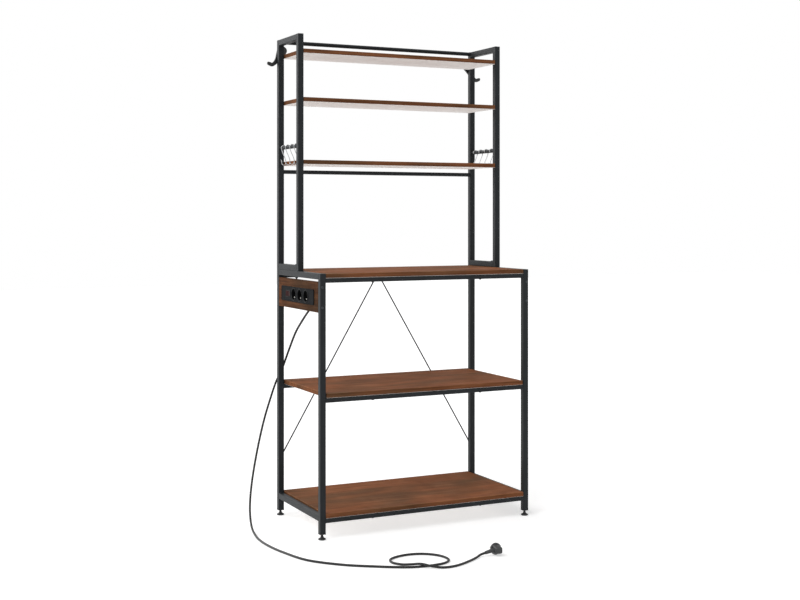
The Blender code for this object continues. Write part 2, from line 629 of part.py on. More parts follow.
# Sockets: round cups let into the strip's face, each with two pin holes in its floor and an earth pin
# fixed in that floor, which is one body with the cup here.
def socket(name, y):
    back_x = STRIP_FRONT_X + SOCKET_DEPTH + SOCKET_FLOOR
    cup = rod(name, (STRIP_FRONT_X, y, STRIP_Z), (back_x, y, STRIP_Z), SOCKET_OUTER, BLACK_PLASTIC, sides=32)
    cut(cup, rod(f"{name}_recess", (STRIP_FRONT_X - 0.01, y, STRIP_Z),
                 (STRIP_FRONT_X + SOCKET_DEPTH, y, STRIP_Z), SOCKET_RADIUS, sides=32))
    for i, shift in enumerate((-PIN_SPACING / 2, PIN_SPACING / 2)):
        cut(cup, rod(f"{name}_pin_hole_{i}", (back_x - 0.02, y + shift, STRIP_Z),
                     (back_x + 0.01, y + shift, STRIP_Z), PIN_HOLE_RADIUS, sides=12))
    z = STRIP_Z - EARTH_DROP
    tip_x = STRIP_FRONT_X + EARTH_SHORT
    shoulder_x = tip_x + 0.0014
    return join(cup, rod(f"{name}_earth_pin", (back_x - SOCKET_FLOOR / 2, y, z), (shoulder_x, y, z),
                         EARTH_RADIUS, sides=16),
                rod(f"{name}_earth_tip", (shoulder_x + 0.001, y, z), (tip_x, y, z), EARTH_RADIUS * 0.95,
                    end_radius=EARTH_RADIUS * 0.6, sides=12))


for i, y in enumerate(SOCKET_YS):
    socket(f"socket_{i + 1}", y)


# Rocker switch: a shallow V seen from above, tipped about an upright axis, with a pin at each end.
def rocker_switch():
    half = ROCKER_LENGTH / 2
    outline = [(-half, -0.0032), (0.0, -0.0006), (half, -0.0032), (half - 0.0012, 0.0018),
               (0.0, 0.0042), (-half + 0.0012, 0.0018)]
    work = bmesh.new()
    low_face = work.faces.new([work.verts.new((x, y, -ROCKER_HEIGHT / 2)) for y, x in outline])
    raised = bmesh.ops.extrude_face_region(work, geom=[low_face])
    top = [item for item in raised["geom"] if isinstance(item, bmesh.types.BMVert)]
    bmesh.ops.translate(work, verts=top, vec=(0, 0, ROCKER_HEIGHT))
    rocker = place("rocker_switch", finish_bmesh(work, "rocker_switch"), RED_PLASTIC)
    rocker.location = (rocker_x, ROCKER_SHIFT, STRIP_Z)
    rocker.rotation_euler = (0, 0, ROCKER_TILT)
    return join(rocker, rod("rocker_pins", (rocker_x, ROCKER_SHIFT, STRIP_Z - pin_reach),
                            (rocker_x, ROCKER_SHIFT, STRIP_Z + pin_reach), ROCKER_PIN_RADIUS, sides=12))


rocker_switch()


# Wire hooks: the upper loop lies round the hook bar, the lower bend opens outwards.
def hook_line():
    """Centre line as (outwards, up) from the bar's axis: loop, stem, lower bend and flared tip.
    The stem crosses under the bar and leans on the lower shelf's end."""
    loop = HOOK_BAR_RADIUS + HOOK_CLEARANCE + WIRE_RADIUS
    bend_centre = HOOK_BEND_RADIUS + WIRE_RADIUS - TUBE / 2
    points = []
    for i in range(10):
        angle = math.radians(215 - 215 * i / 9)
        points.append((loop * math.cos(angle), loop * math.sin(angle)))
    start, end = loop, bend_centre - HOOK_BEND_RADIUS
    for i in range(1, 6):
        share = i / 6
        ease = share * share * (3 - 2 * share)
        points.append((start + (end - start) * ease, -HOOK_DROP * share))
    for i in range(8):
        angle = math.radians(180 + 180 * i / 7)
        points.append((bend_centre + HOOK_BEND_RADIUS * math.cos(angle),
                       -HOOK_DROP + HOOK_BEND_RADIUS * math.sin(angle)))
    out, down = points[-1]
    points.append((out + HOOK_TIP_FLARE * 0.35, down + HOOK_TIP_RISE * 0.5))
    points.append((out + HOOK_TIP_FLARE, down + HOOK_TIP_RISE))
    return points


HOOK_MIDDLE_Y = (HUTCH_Y[0] + HUTCH_Y[1]) / 2
for side, label in ((-1, "left"), (1, "right")):
    for i in range(HOOK_COUNT):
        y = HOOK_MIDDLE_Y + (i - (HOOK_COUNT - 1) / 2) * HOOK_SPACING
        line = [(side * (LEG_X + out), y, HOOK_BAR_HEIGHT + up) for out, up in hook_line()]
        hook = wire(f"s_hook_{label}_{i + 1}", line, WIRE_RADIUS, ZINC_STEEL, 2)
        axis = Vector((side * LEG_X, y, HOOK_BAR_HEIGHT))
        hook.data.transform(Matrix.Translation(-axis))
        hook.location = axis

# Clip hooks: a moulded leaf with a peg pushed into the upright's back face; the arm points outwards.
# The outline is (towards the rack's middle, up) from the peg.
CLIP_OUTLINE = [
    (0.0120, 0.0190), (0.0240, 0.0130), (0.0290, 0.0030), (0.0250, -0.0080), (0.0140, -0.0200),
    (0.0000, -0.0350), (-0.0140, -0.0490), (-0.0260, -0.0555), (-0.0370, -0.0530), (-0.0445, -0.0480),
    (-0.0435, -0.0400), (-0.0350, -0.0405), (-0.0275, -0.0425), (-0.0200, -0.0360), (-0.0140, -0.0240),
    (-0.0110, -0.0100), (-0.0060, 0.0070), (0.0020, 0.0160),
]


def clip_hook(name, side, height):
    curve = bpy.data.curves.new(name, "CURVE")
    curve.dimensions = "2D"
    curve.fill_mode = "BOTH"
    curve.extrude = CLIP_THICK / 2
    curve.resolution_u = 3
    curve.render_resolution_u = 0
    line = curve.splines.new("BEZIER")
    line.bezier_points.add(len(CLIP_OUTLINE) - 1)
    line.use_cyclic_u = True
    for knot, (inwards, up) in zip(line.bezier_points, CLIP_OUTLINE):
        knot.co = (-side * inwards, up, 0)
        knot.handle_left_type = "AUTO"
        knot.handle_right_type = "AUTO"
    leaf_object = bpy.data.objects.new(name, curve)
    bpy.context.scene.collection.objects.link(leaf_object)
    leaf_object.rotation_euler = (math.radians(90), 0, 0)
    leaf_object.location = (side * LEG_X, BACK + GAP + CLIP_THICK / 2, height)
    leaf = curve_to_mesh(leaf_object, name, BLACK_PLASTIC)
    return join(leaf, rod(f"{name}_peg", (side * LEG_X, BACK + GAP + CLIP_THICK / 2, height),
                          (side * LEG_X, BACK - CLIP_PEG_REACH, height), CLIP_PEG_RADIUS, sides=16))


clip_hook("clip_hook_left", -1, HUTCH_TOP - CLIP_DROP_LEFT)
clip_hook("clip_hook_right", 1, HUTCH_TOP - CLIP_DROP_RIGHT)

# Cord gland: a tapered strain relief that leaves the housing's underside aslant, cut flat against it.
UNDERSIDE = STRIP_Z - HOUSING_HALF_Z
gland_way = Vector((0, math.cos(GLAND_SLOPE), -math.sin(GLAND_SLOPE)))
gland_root = Vector((GLAND_X, GLAND_Y, UNDERSIDE))
gland_tip = gland_root + gland_way * GLAND_LENGTH
gland = rod("cord_gland", gland_root - gland_way * 0.012, gland_tip, GLAND_RADIUS + 0.0006, BLACK_PLASTIC,
            end_radius=GLAND_END_RADIUS, sides=20)
cut(gland, box("gland_trim", (GLAND_X - 0.03, GLAND_Y - 0.05, UNDERSIDE - GAP),
               (GLAND_X + 0.03, GLAND_Y + 0.05, UNDERSIDE + 0.04)))

# Mains plug: it lies on the rim of its face; the lead comes in from the side through a moulded boot.
plug_across = Vector((math.cos(PLUG_YAW), math.sin(PLUG_YAW), 0))
plug_rear = Vector((math.sin(PLUG_YAW), -math.cos(PLUG_YAW), 0))
plug_centre = Vector((PLUG_X, PLUG_Y, PLUG_FACE_RADIUS))


def plug_body():
    face = rod("plug_body", plug_centre, plug_centre + plug_rear * PLUG_FACE_THICK, PLUG_FACE_RADIUS,
               BLACK_PLASTIC, end_radius=PLUG_FACE_RADIUS - 0.0008, sides=32)
    work = bmesh.new()
    bmesh.ops.create_cube(work, size=1.0)
    turn = Matrix((plug_across, plug_rear, Vector((0, 0, -1)))).transposed()
    for vert in work.verts:
        taper, rise = (PLUG_TAPER, PLUG_HEIGHT_TAPER) if vert.co.y > 0 else (1.0, 1.0)
        spot = Vector((vert.co.x * PLUG_BODY_WIDTH * taper, (vert.co.y + 0.5) * PLUG_BODY_LENGTH,
                       vert.co.z * PLUG_BODY_HEIGHT * rise))
        vert.co = plug_centre + plug_rear * PLUG_FACE_THICK * 0.5 + turn @ spot
    work.normal_update()
    bmesh.ops.bevel(work, geom=list(work.edges), offset=0.0035, segments=2, profile=0.5, affect="EDGES")
    join(face, place("plug_block", finish_bmesh(work, "plug_block"), None))
    join(face, rod("plug_boot", boot_root, boot_tip, BOOT_RADIUS, end_radius=BOOT_END_RADIUS, sides=20))
    for i, shift in enumerate((-PIN_SPACING / 2, PIN_SPACING / 2)):
        start = plug_centre + plug_across * shift - plug_rear * 0.005
        end = plug_centre + plug_across * shift + plug_rear * (PLUG_PIN_SEAT + GAP)
        cut(face, rod(f"plug_pin_seat_{i}", start, end, PIN_RADIUS + GAP, sides=16))
        pin_tip = plug_centre + plug_across * shift - plug_rear * PLUG_PIN_LENGTH
        pin_root = plug_centre + plug_across * shift + plug_rear * PLUG_PIN_SEAT
        rod(f"plug_pin_{i + 1}", pin_root, pin_tip, PIN_RADIUS, ZINC_STEEL, sides=16)
    earth = plug_centre + Vector((0, 0, EARTH_DROP))
    return cut(face, rod("plug_earth_hole", earth - plug_rear * 0.005, earth + plug_rear * EARTH_HOLE_DEPTH,
                         EARTH_HOLE_RADIUS, sides=12))


boot_way = -plug_across * math.cos(BOOT_FALL) - Vector((0, 0, math.sin(BOOT_FALL)))
boot_root = plug_centre + plug_rear * (PLUG_FACE_THICK + 0.006) - plug_across * 0.006
boot_tip = boot_root + boot_way * BOOT_LENGTH
plug_body()

# The lead's route, by hand: out of the gland, down behind the back leg, forward over the floor,
# once round in a loose loop in front of the rack, over itself and on to the plug.
FLOOR = CORD_RADIUS
OVER = 3 * CORD_RADIUS + 0.0006
ROUTE = [
    gland_tip + gland_way * GAP,
    gland_tip + gland_way * 0.020,
    (-0.3700, 0.0020, 0.7225),
    (-0.3700, 0.0355, 0.7000),
    (-0.3700, 0.0915, 0.6590),
    (-0.3705, 0.1478, 0.6000),
    (-0.3725, 0.1950, 0.5420),
    (-0.3800, 0.2095, 0.5080),
    (-0.3973, 0.2125, 0.4738),
    (-0.4227, 0.2100, 0.4078),
    (-0.4483, 0.2010, 0.3396),
    (-0.4833, 0.1740, 0.2406),
    (-0.5190, 0.1270, 0.1480),
    (-0.5430, 0.0800, 0.0920),
    (-0.5580, 0.0400, 0.0560),
    (-0.5700, -0.0120, 0.0200),
    (-0.5770, -0.0700, 0.0060),
    (-0.5820, -0.1450, FLOOR),
    (-0.5770, -0.2230, FLOOR),
    (-0.5640, -0.2950, FLOOR),
    (-0.5290, -0.4090, FLOOR),
    (-0.4470, -0.5050, FLOOR),
    (-0.3720, -0.5590, FLOOR),
    (-0.3230, -0.5900, FLOOR),
    (-0.2840, -0.6100, FLOOR),
    (-0.2450, -0.6205, FLOOR),
    (-0.2050, -0.6235, FLOOR),
    (-0.1630, -0.6170, FLOOR),
    (-0.1370, -0.5950, FLOOR),
    (-0.1320, -0.5620, FLOOR),
    (-0.1450, -0.5260, FLOOR),
    (-0.1780, -0.4960, FLOOR),
    (-0.2200, -0.4850, FLOOR),
    (-0.2650, -0.4920, FLOOR),
    (-0.2980, -0.5130, FLOOR),
    (-0.3060, -0.5450, FLOOR),
    (-0.2900, -0.5740, FLOOR),
    (-0.2690, -0.5960, 0.0070),
    (-0.2470, -0.6205, OVER),
    (-0.2230, -0.6440, 0.0080),
    (-0.1950, -0.6580, 0.0045),
    (-0.1612, -0.6610, FLOOR),
    (-0.1250, -0.6510, FLOOR),
    (-0.0810, -0.6290, FLOOR),
    (-0.0480, -0.6095, 0.0045),
    boot_tip + boot_way * 0.014,
    boot_tip + boot_way * GAP,
]


def smooth_route(knots, per_span):
    """A centripetal Catmull-Rom curve through the knots, which never dips into the floor."""
    knots = [Vector(knot) for knot in knots]
    knots = [knots[0] * 2 - knots[1], *knots, knots[-1] * 2 - knots[-2]]
    dense = []
    for p0, p1, p2, p3 in zip(knots, knots[1:], knots[2:], knots[3:]):
        t0 = 0.0
        t1 = t0 + math.sqrt((p1 - p0).length)
        t2 = t1 + math.sqrt((p2 - p1).length)
        t3 = t2 + math.sqrt((p3 - p2).length)
        for i in range(per_span):
            t = t1 + (t2 - t1) * i / per_span
            a1 = p0 * ((t1 - t) / (t1 - t0)) + p1 * ((t - t0) / (t1 - t0))
            a2 = p1 * ((t2 - t) / (t2 - t1)) + p2 * ((t - t1) / (t2 - t1))
            a3 = p2 * ((t3 - t) / (t3 - t2)) + p3 * ((t - t2) / (t3 - t2))
            b1 = a1 * ((t2 - t) / (t2 - t0)) + a2 * ((t - t0) / (t2 - t0))
            b2 = a2 * ((t3 - t) / (t3 - t1)) + a3 * ((t - t1) / (t3 - t1))
            dense.append(b1 * ((t2 - t) / (t2 - t1)) + b2 * ((t - t1) / (t2 - t1)))
    dense.append(knots[-2])
    for point in dense:
        point.z = max(point.z, FLOOR)
    return dense


def spread_points(dense, count):
    """Picks points along the dense curve, closer together where it bends more."""
    weights = [0.0]
    for i in range(1, len(dense)):
        step = dense[i] - dense[i - 1]
        turn = 0.0
        if i + 1 < len(dense):
            turn = step.angle(dense[i + 1] - dense[i], 0.0)
        weights.append(weights[-1] + step.length + 0.030 * turn)
    chosen, at = [], 0
    for i in range(count):
        goal = weights[-1] * i / (count - 1)
        while weights[at + 1] < goal and at + 2 < len(weights):
            at += 1
        share = (goal - weights[at]) / (weights[at + 1] - weights[at])
        chosen.append(dense[at].lerp(dense[at + 1], min(max(share, 0.0), 1.0)))
    return chosen


CORD_LINE = spread_points(smooth_route(ROUTE, 12), CORD_POINTS)
wire("mains_cord", CORD_LINE, CORD_RADIUS, CORD_RUBBER, 3)
print("mains cord length", round(sum((b - a).length for a, b in zip(CORD_LINE, CORD_LINE[1:])), 3), "m")
bpy.context.view_layer.update()
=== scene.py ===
import math

import bmesh
import bpy
import numpy as np
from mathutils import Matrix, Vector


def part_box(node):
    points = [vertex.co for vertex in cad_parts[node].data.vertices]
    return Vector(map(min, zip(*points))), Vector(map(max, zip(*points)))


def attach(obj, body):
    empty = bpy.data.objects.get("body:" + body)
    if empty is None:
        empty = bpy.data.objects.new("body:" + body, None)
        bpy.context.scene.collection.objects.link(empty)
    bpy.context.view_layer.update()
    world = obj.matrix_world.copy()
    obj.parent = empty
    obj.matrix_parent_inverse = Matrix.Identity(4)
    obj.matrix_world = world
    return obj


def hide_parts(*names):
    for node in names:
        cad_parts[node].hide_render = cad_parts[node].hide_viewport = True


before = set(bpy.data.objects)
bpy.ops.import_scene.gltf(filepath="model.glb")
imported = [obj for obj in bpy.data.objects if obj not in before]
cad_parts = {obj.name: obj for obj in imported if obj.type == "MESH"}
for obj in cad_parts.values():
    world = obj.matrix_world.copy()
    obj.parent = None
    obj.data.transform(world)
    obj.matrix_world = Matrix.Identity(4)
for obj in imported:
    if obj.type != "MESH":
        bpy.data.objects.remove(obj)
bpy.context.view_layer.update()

# Viewpoint
# The camera stands in front of the rack's left corner, level, a little above the counter.
# Its lens is shifted sideways and down, so that upright tubes stay upright in the picture.
def placed(name, data):
    """A new object with this data, in the scene."""
    item = bpy.data.objects.new(name, data)
    bpy.context.scene.collection.objects.link(item)
    return item


camera = placed("viewpoint", bpy.data.cameras.new("viewpoint"))
camera.location = (-1.9864, -3.9801, 1.0687)
camera.rotation_euler = (math.radians(90), 0, math.radians(-25.61))
camera.data.lens = 56.27
camera.data.sensor_width = 36.0
camera.data.shift_x = 0.0219
camera.data.shift_y = -0.107
bpy.context.scene.camera = camera

# Mains lead
# A round black flexible lead. It leaves the strip's underside through a moulded strain relief, hangs
# down behind the back leg, and lies on the floor in one loose loop before it reaches the plug.
def linear(hex_colour):
    """One sRGB hex colour as linear red, green and blue, by the usual two-part curve, and alpha 1."""
    parts = np.array([int(hex_colour[i:i + 2], 16) for i in (1, 3, 5)]) / 255
    curve = np.where(parts <= 0.04045, parts / 12.92, ((parts + 0.055) / 1.055) ** 2.4)
    return (*curve.tolist(), 1.0)


def per_mm(size):
    """The texture scale at which one feature measures the given millimetres."""
    return 1000.0 / size


def new_finish(name, hex_colour, roughness, metallic=0.0, **sockets):
    """A material with one Principled shader, whose steady values stand on its own sockets."""
    finish = bpy.data.materials.new(name)
    finish.use_nodes = True
    shader = finish.node_tree.nodes["Principled BSDF"]
    shader.inputs["Base Color"].default_value = linear(hex_colour)
    shader.inputs["Roughness"].default_value = roughness
    shader.inputs["Metallic"].default_value = metallic
    for socket, value in sockets.items():
        shader.inputs[socket.replace("_", " ")].default_value = value
    return finish


def add_node(finish, kind, values=(), links=(), into=(), settings=(), stops=()):
    """Adds a node: values go to its sockets, links come in from other nodes, and into takes its outputs on
    to the main shader. Settings are its own options, stops a ramp's knots of position and hex colour."""
    tree = finish.node_tree
    node = tree.nodes.new(kind)
    for option, value in dict(settings).items():
        setattr(node, option, value)
    for socket, value in dict(values).items():
        node.inputs[socket].default_value = value
    for source, output, socket in links:
        tree.links.new(source.outputs[output], node.inputs[socket])
    shader = tree.nodes.get("Principled BSDF") or tree.nodes["Background"]
    for output, socket in into:
        tree.links.new(node.outputs[output], shader.inputs[socket])
    if stops:
        knots = node.color_ramp.elements
        while len(knots) < len(stops):
            knots.new(0.5)
        for knot, (place, colour) in zip(knots, stops):
            knot.position = place
            knot.color = linear(colour)
    return node


def vary(finish, size, detail, stops=(), roughness=(), dent=0.0, depth=0.0002):
    """Noise with features of so many millimetres over a finish. Where a call gives them, it runs through
    colour stops, moves the roughness between two values, and dents the surface."""
    where = add_node(finish, "ShaderNodeTexCoord")
    noise = add_node(finish, "ShaderNodeTexNoise", {"Scale": per_mm(size), "Detail": detail},
                     [(where, "Object", "Vector")])
    if stops:
        add_node(finish, "ShaderNodeValToRGB", links=[(noise, "Fac", "Fac")],
                 into=[("Color", "Base Color")], stops=stops)
    if roughness:
        add_node(finish, "ShaderNodeMapRange", {"To Min": roughness[0], "To Max": roughness[1]},
                 [(noise, "Fac", "Value")], [("Result", "Roughness")])
    if dent:
        add_node(finish, "ShaderNodeBump", {"Strength": dent, "Distance": depth},
                 [(noise, "Fac", "Height")], [("Normal", "Normal")])


def skin(grid, along=False, first=False, last=False):
    """Quads between neighbours on a grid of points: rows run along the piece, and columns close around it.
    The rows may close too, or the first and last of them end in one flat face each."""
    rows, columns = grid.shape[:2]
    i, j = np.meshgrid(np.arange(rows if along else rows - 1), np.arange(columns), indexing="ij")
    next_i, next_j = (i + 1) % rows, (j + 1) % columns
    quads = np.stack([i * columns + j, i * columns + next_j,
                      next_i * columns + next_j, next_i * columns + j], -1)
    face_groups = [quads.reshape(-1, 4)]
    if first:
        face_groups.append(np.arange(columns)[None, ::-1])
    if last:
        face_groups.append(np.arange((rows - 1) * columns, rows * columns)[None])
    return grid.reshape(-1, 3), face_groups


def capped(grid):
    """A skin whose first and last rows end in one flat face each."""
    return skin(grid, first=True, last=True)


def add_piece(name, shells, finish, body="root", stands_for=(), sharp=40, even=False):
    """Shells of points and face groups become one mesh: each shell's faces move up by the points before it,
    doubles are merged, and faces turned outwards. On an even piece large flat faces keep their own normals,
    so that only the rounded edges between them shade softly."""
    points = np.concatenate([shell[0] for shell in shells])
    starts = np.cumsum([0] + [len(shell[0]) for shell in shells])
    faces = []
    for start, (_, face_groups) in zip(starts, shells):
        for group in face_groups:
            faces += (group + start).tolist()
    mesh = bpy.data.meshes.new(name)
    mesh.from_pydata(points.tolist(), [], faces)
    work = bmesh.new()
    work.from_mesh(mesh)
    bmesh.ops.remove_doubles(work, verts=work.verts, dist=1e-6)
    bmesh.ops.dissolve_degenerate(work, edges=work.edges, dist=1e-7)
    bmesh.ops.recalc_face_normals(work, faces=work.faces)
    work.to_mesh(mesh)
    work.free()
    mesh.shade_smooth()
    mesh.set_sharp_from_angle(angle=math.radians(sharp))
    for layer in finish if isinstance(finish, list) else [finish]:
        mesh.materials.append(layer)
    piece = placed(name, mesh)
    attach(piece, body)
    if stands_for:
        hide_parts(*stands_for)
    if even:
        piece.modifiers.new("even_shading", "WEIGHTED_NORMAL").keep_sharp = True
    return piece


def smooth_route(knots, per_span):
    """A centripetal Catmull-Rom curve: each span blends straight lines between its four nearest knots."""
    knots = np.vstack([2 * knots[0] - knots[1], knots, 2 * knots[-1] - knots[-2]])
    p0, p1, p2, p3 = (knots[i:len(knots) - 3 + i, None] for i in range(4))
    chord = [np.sqrt(np.linalg.norm(b - a, axis=-1, keepdims=True))
             for a, b in ((p0, p1), (p1, p2), (p2, p3))]
    t1 = chord[0]
    t2 = t1 + chord[1]
    t3 = t2 + chord[2]
    t = t1 + (t2 - t1) * np.linspace(0, 1, per_span, endpoint=False)[None, :, None]
    a1 = p0 * (t1 - t) / t1 + p1 * t / t1
    a2 = p1 * (t2 - t) / (t2 - t1) + p2 * (t - t1) / (t2 - t1)
    a3 = p2 * (t3 - t) / (t3 - t2) + p3 * (t - t2) / (t3 - t2)
    b1 = a1 * (t2 - t) / t2 + a2 * t / t2
    b2 = a2 * (t3 - t) / (t3 - t1) + a3 * (t - t1) / (t3 - t1)
    curve = b1 * (t2 - t) / (t2 - t1) + b2 * (t - t1) / (t2 - t1)
    return np.vstack([curve.reshape(-1, 3), knots[-2]])


def resample(path, count):
    """The same line with evenly spaced points, by linear reading of its running length."""
    run = np.concatenate([[0], np.cumsum(np.linalg.norm(np.diff(path, axis=0), axis=1))])
    return np.stack([np.interp(np.linspace(0, run[-1], count), run, path[:, i]) for i in range(3)], -1)


def full_turn(count):
    """Evenly spaced angles once round."""
    return np.linspace(0, 2 * np.pi, count, endpoint=False)


def tube(path, radius, sides, reference):
    """A round bar: at each point a ring stands square to the path. The ring's axes are the direction
    crossed with a fixed reference, which is never along the path, and crossed again."""
    ahead = np.gradient(path, axis=0)
    ahead /= np.linalg.norm(ahead, axis=1, keepdims=True)
    side = np.cross(ahead, reference)
    side /= np.linalg.norm(side, axis=1, keepdims=True)
    up = np.cross(ahead, side)
    turn = full_turn(sides)[:, None]
    radius = np.broadcast_to(radius, len(path))[:, None, None]
    return capped(path[:, None] + radius * (side[:, None] * np.cos(turn) + up[:, None] * np.sin(turn)))


lead_radius = 0.00375
floor_line = lead_radius
over_line = 3 * lead_radius + 0.0006
gland_slope = math.radians(32.6)
gland_way = np.array([0, math.cos(gland_slope), -math.sin(gland_slope)])
strip_z, strip_body_half = 0.7937, 0.02275
gland_root = np.array([-0.370, -0.0743, strip_z - strip_body_half])
gland_length = 0.034
gland_tip = gland_root + gland_way * gland_length
plug_yaw = math.radians(-6)
plug_across = np.array([math.cos(plug_yaw), math.sin(plug_yaw), 0])
plug_rear = np.array([math.sin(plug_yaw), -math.cos(plug_yaw), 0])
plug_centre = np.array([0.0330, -0.5880, 0.0185])
boot_fall = math.radians(13)
boot_way = -plug_across * math.cos(boot_fall) - np.array([0, 0, math.sin(boot_fall)])
boot_root = plug_centre + plug_rear * 0.011 - plug_across * 0.006
boot_length = 0.034
boot_tip = boot_root + boot_way * boot_length
# From the strain relief down behind the back leg, along the floor, round the loop and into the plug's boot.
route = np.array([
    gland_tip + gland_way * 0.0003, gland_tip + gland_way * 0.020,
    (-0.3700, 0.0020, 0.7225), (-0.3700, 0.0355, 0.7000), (-0.3700, 0.0915, 0.6590),
    (-0.3705, 0.1478, 0.6000), (-0.3725, 0.1950, 0.5420), (-0.3800, 0.2095, 0.5080),
    (-0.3973, 0.2125, 0.4738), (-0.4227, 0.2100, 0.4078), (-0.4483, 0.2010, 0.3396),
    (-0.4833, 0.1740, 0.2406), (-0.5190, 0.1270, 0.1480), (-0.5430, 0.0800, 0.0920),
    (-0.5580, 0.0400, 0.0560), (-0.5700, -0.0120, 0.0200), (-0.5770, -0.0700, 0.0060),
    (-0.5820, -0.1450, floor_line), (-0.5770, -0.2230, floor_line), (-0.5640, -0.2950, floor_line),
    (-0.5290, -0.4090, floor_line), (-0.4470, -0.5050, floor_line), (-0.3720, -0.5590, floor_line),
    (-0.3230, -0.5900, floor_line), (-0.2840, -0.6100, floor_line), (-0.2450, -0.6205, floor_line),
    (-0.2050, -0.6235, floor_line), (-0.1630, -0.6170, floor_line), (-0.1370, -0.5950, floor_line),
    (-0.1320, -0.5620, floor_line), (-0.1450, -0.5260, floor_line), (-0.1780, -0.4960, floor_line),
    (-0.2200, -0.4850, floor_line), (-0.2650, -0.4920, floor_line), (-0.2980, -0.5130, floor_line),
    (-0.3060, -0.5450, floor_line), (-0.2900, -0.5740, floor_line), (-0.2690, -0.5960, 0.0070),
    (-0.2470, -0.6205, over_line), (-0.2230, -0.6440, 0.0080), (-0.1950, -0.6580, 0.0045),
    (-0.1612, -0.6610, floor_line), (-0.1250, -0.6510, floor_line), (-0.0810, -0.6290, floor_line),
    (-0.0480, -0.6095, 0.0045), boot_tip + boot_way * 0.014, boot_tip + boot_way * 0.0003,
])
lead_path = smooth_route(route, 24)
lead_path[:, 2] = np.maximum(lead_path[:, 2], floor_line)
lead_path = resample(lead_path, 620)

# Plasticised PVC, extruded: near black, smooth, with a soft gloss that scuffs make uneven.
lead_finish = new_finish("extruded_pvc_black", "#0b0b0c", 0.40, Specular_IOR_Level=0.35)
vary(lead_finish, 14, 4.0, roughness=(0.34, 0.48))

never_along = (-0.5, 0.5, 0.7)
lead = add_piece("mains_lead", [tube(lead_path, lead_radius, 16, never_along)], lead_finish,
                 stands_for=["mains_cord"])


def ring_axes(outward):
    """The outward direction at length 1, and two more square to it and to each other."""
    outward = np.array(outward, float) / np.linalg.norm(outward)
    side = np.cross(outward, (0.0, 0.0, 1.0) if abs(outward[2]) < 0.9 else (1.0, 0.0, 0.0))
    side /= np.linalg.norm(side)
    return outward, side, np.cross(outward, side)


def turned(profile, centre, outward, sides):
    """A turned shape: the profile's (radius, height) pairs go round the axis that points outward."""
    outward, side, other = ring_axes(outward)
    radius, height = np.array(profile, float).T[:, :, None, None]
    turn = full_turn(sides)
    ring = np.cos(turn)[:, None] * side + np.sin(turn)[:, None] * other
    return skin(np.array(centre, float) + radius * ring + height * outward)


def eased_profile(knots, radius, steps=4):
    """A profile's sharp corners made round: each becomes a short quadratic arc towards its neighbours."""
    knots = np.array(knots, float)
    points = [knots[:1]]
    for before, corner, after in zip(knots, knots[1:], knots[2:]):
        reach_in = min(radius, np.linalg.norm(before - corner) * 0.45)
        reach_out = min(radius, np.linalg.norm(after - corner) * 0.45)
        start = corner + (before - corner) / np.linalg.norm(before - corner) * reach_in
        end = corner + (after - corner) / np.linalg.norm(after - corner) * reach_out
        t = np.linspace(0, 1, steps)[:, None]
        points.append((1 - t) ** 2 * start + 2 * t * (1 - t) * corner + t ** 2 * end)
    return np.vstack([*points, knots[-1:]])


def slotted_sleeve(length, wide, narrowing, slots, first, last, count):
    """A tapered sleeve's (radius, height) pairs: the radius falls evenly, less 0.5 mm wherever a sine with
    as many periods as slots is low, between the first and the last share of the length."""
    run = np.linspace(0, 1, count)
    slot = (np.sin(run * 2 * np.pi * slots) < -0.1) & (run > first) & (run < last)
    return [*zip(wide - narrowing * run - 0.0005 * slot, length * run), (0.0, length)]


# The strain relief: a tapered sleeve moulded on the lead, with bending slots that show as rings.
sleeve_line = [(0.0, -0.012), (0.0070, -0.012),
               *slotted_sleeve(gland_length, 0.0066, 0.0015, slots=7, first=0.30, last=0.94, count=61)]
sleeve = turned(sleeve_line, gland_root, gland_way, 32)
# Its upper end is cut level, 0.3 mm under the strip's body.
sleeve[0][:, 2] = np.minimum(sleeve[0][:, 2], gland_root[2] - 0.0003)
gland = add_piece("strain_relief", [sleeve], lead_finish, stands_for=["cord_gland"])

# Mains plug
# A black earthed plug, moulded in one with the lead, lies on the rim of its round face. The block
# behind is the grip; the lead enters from the side through a ribbed boot. Two round plated pins.
def rounded_outline(half_u, half_v, corner, steps=5):
    """A rounded rectangle: four quarter circles of the corner's radius about the corners' own centres."""
    corner_index = np.repeat(np.arange(4), steps)
    turn = (corner_index + np.tile(np.linspace(0, 1, steps), 4)) * np.pi / 2
    diagonal = (corner_index + 0.5) * np.pi / 2
    u = np.sign(np.cos(diagonal)) * (half_u - corner) + corner * np.cos(turn)
    v = np.sign(np.sin(diagonal)) * (half_v - corner) + corner * np.sin(turn)
    return np.stack(np.broadcast_arrays(u, v), -1)


def eased_ends(ease, length, steps):
    """Places along a length and the inset at each: a quarter circle of the ease's radius at either end."""
    quarter = np.linspace(0, np.pi / 2, steps)
    place = np.concatenate([ease * (1 - np.cos(quarter)), length - ease * (1 - np.cos(quarter[::-1]))])
    return place, ease * np.concatenate([1 - np.sin(quarter), 1 - np.sin(quarter[::-1])])


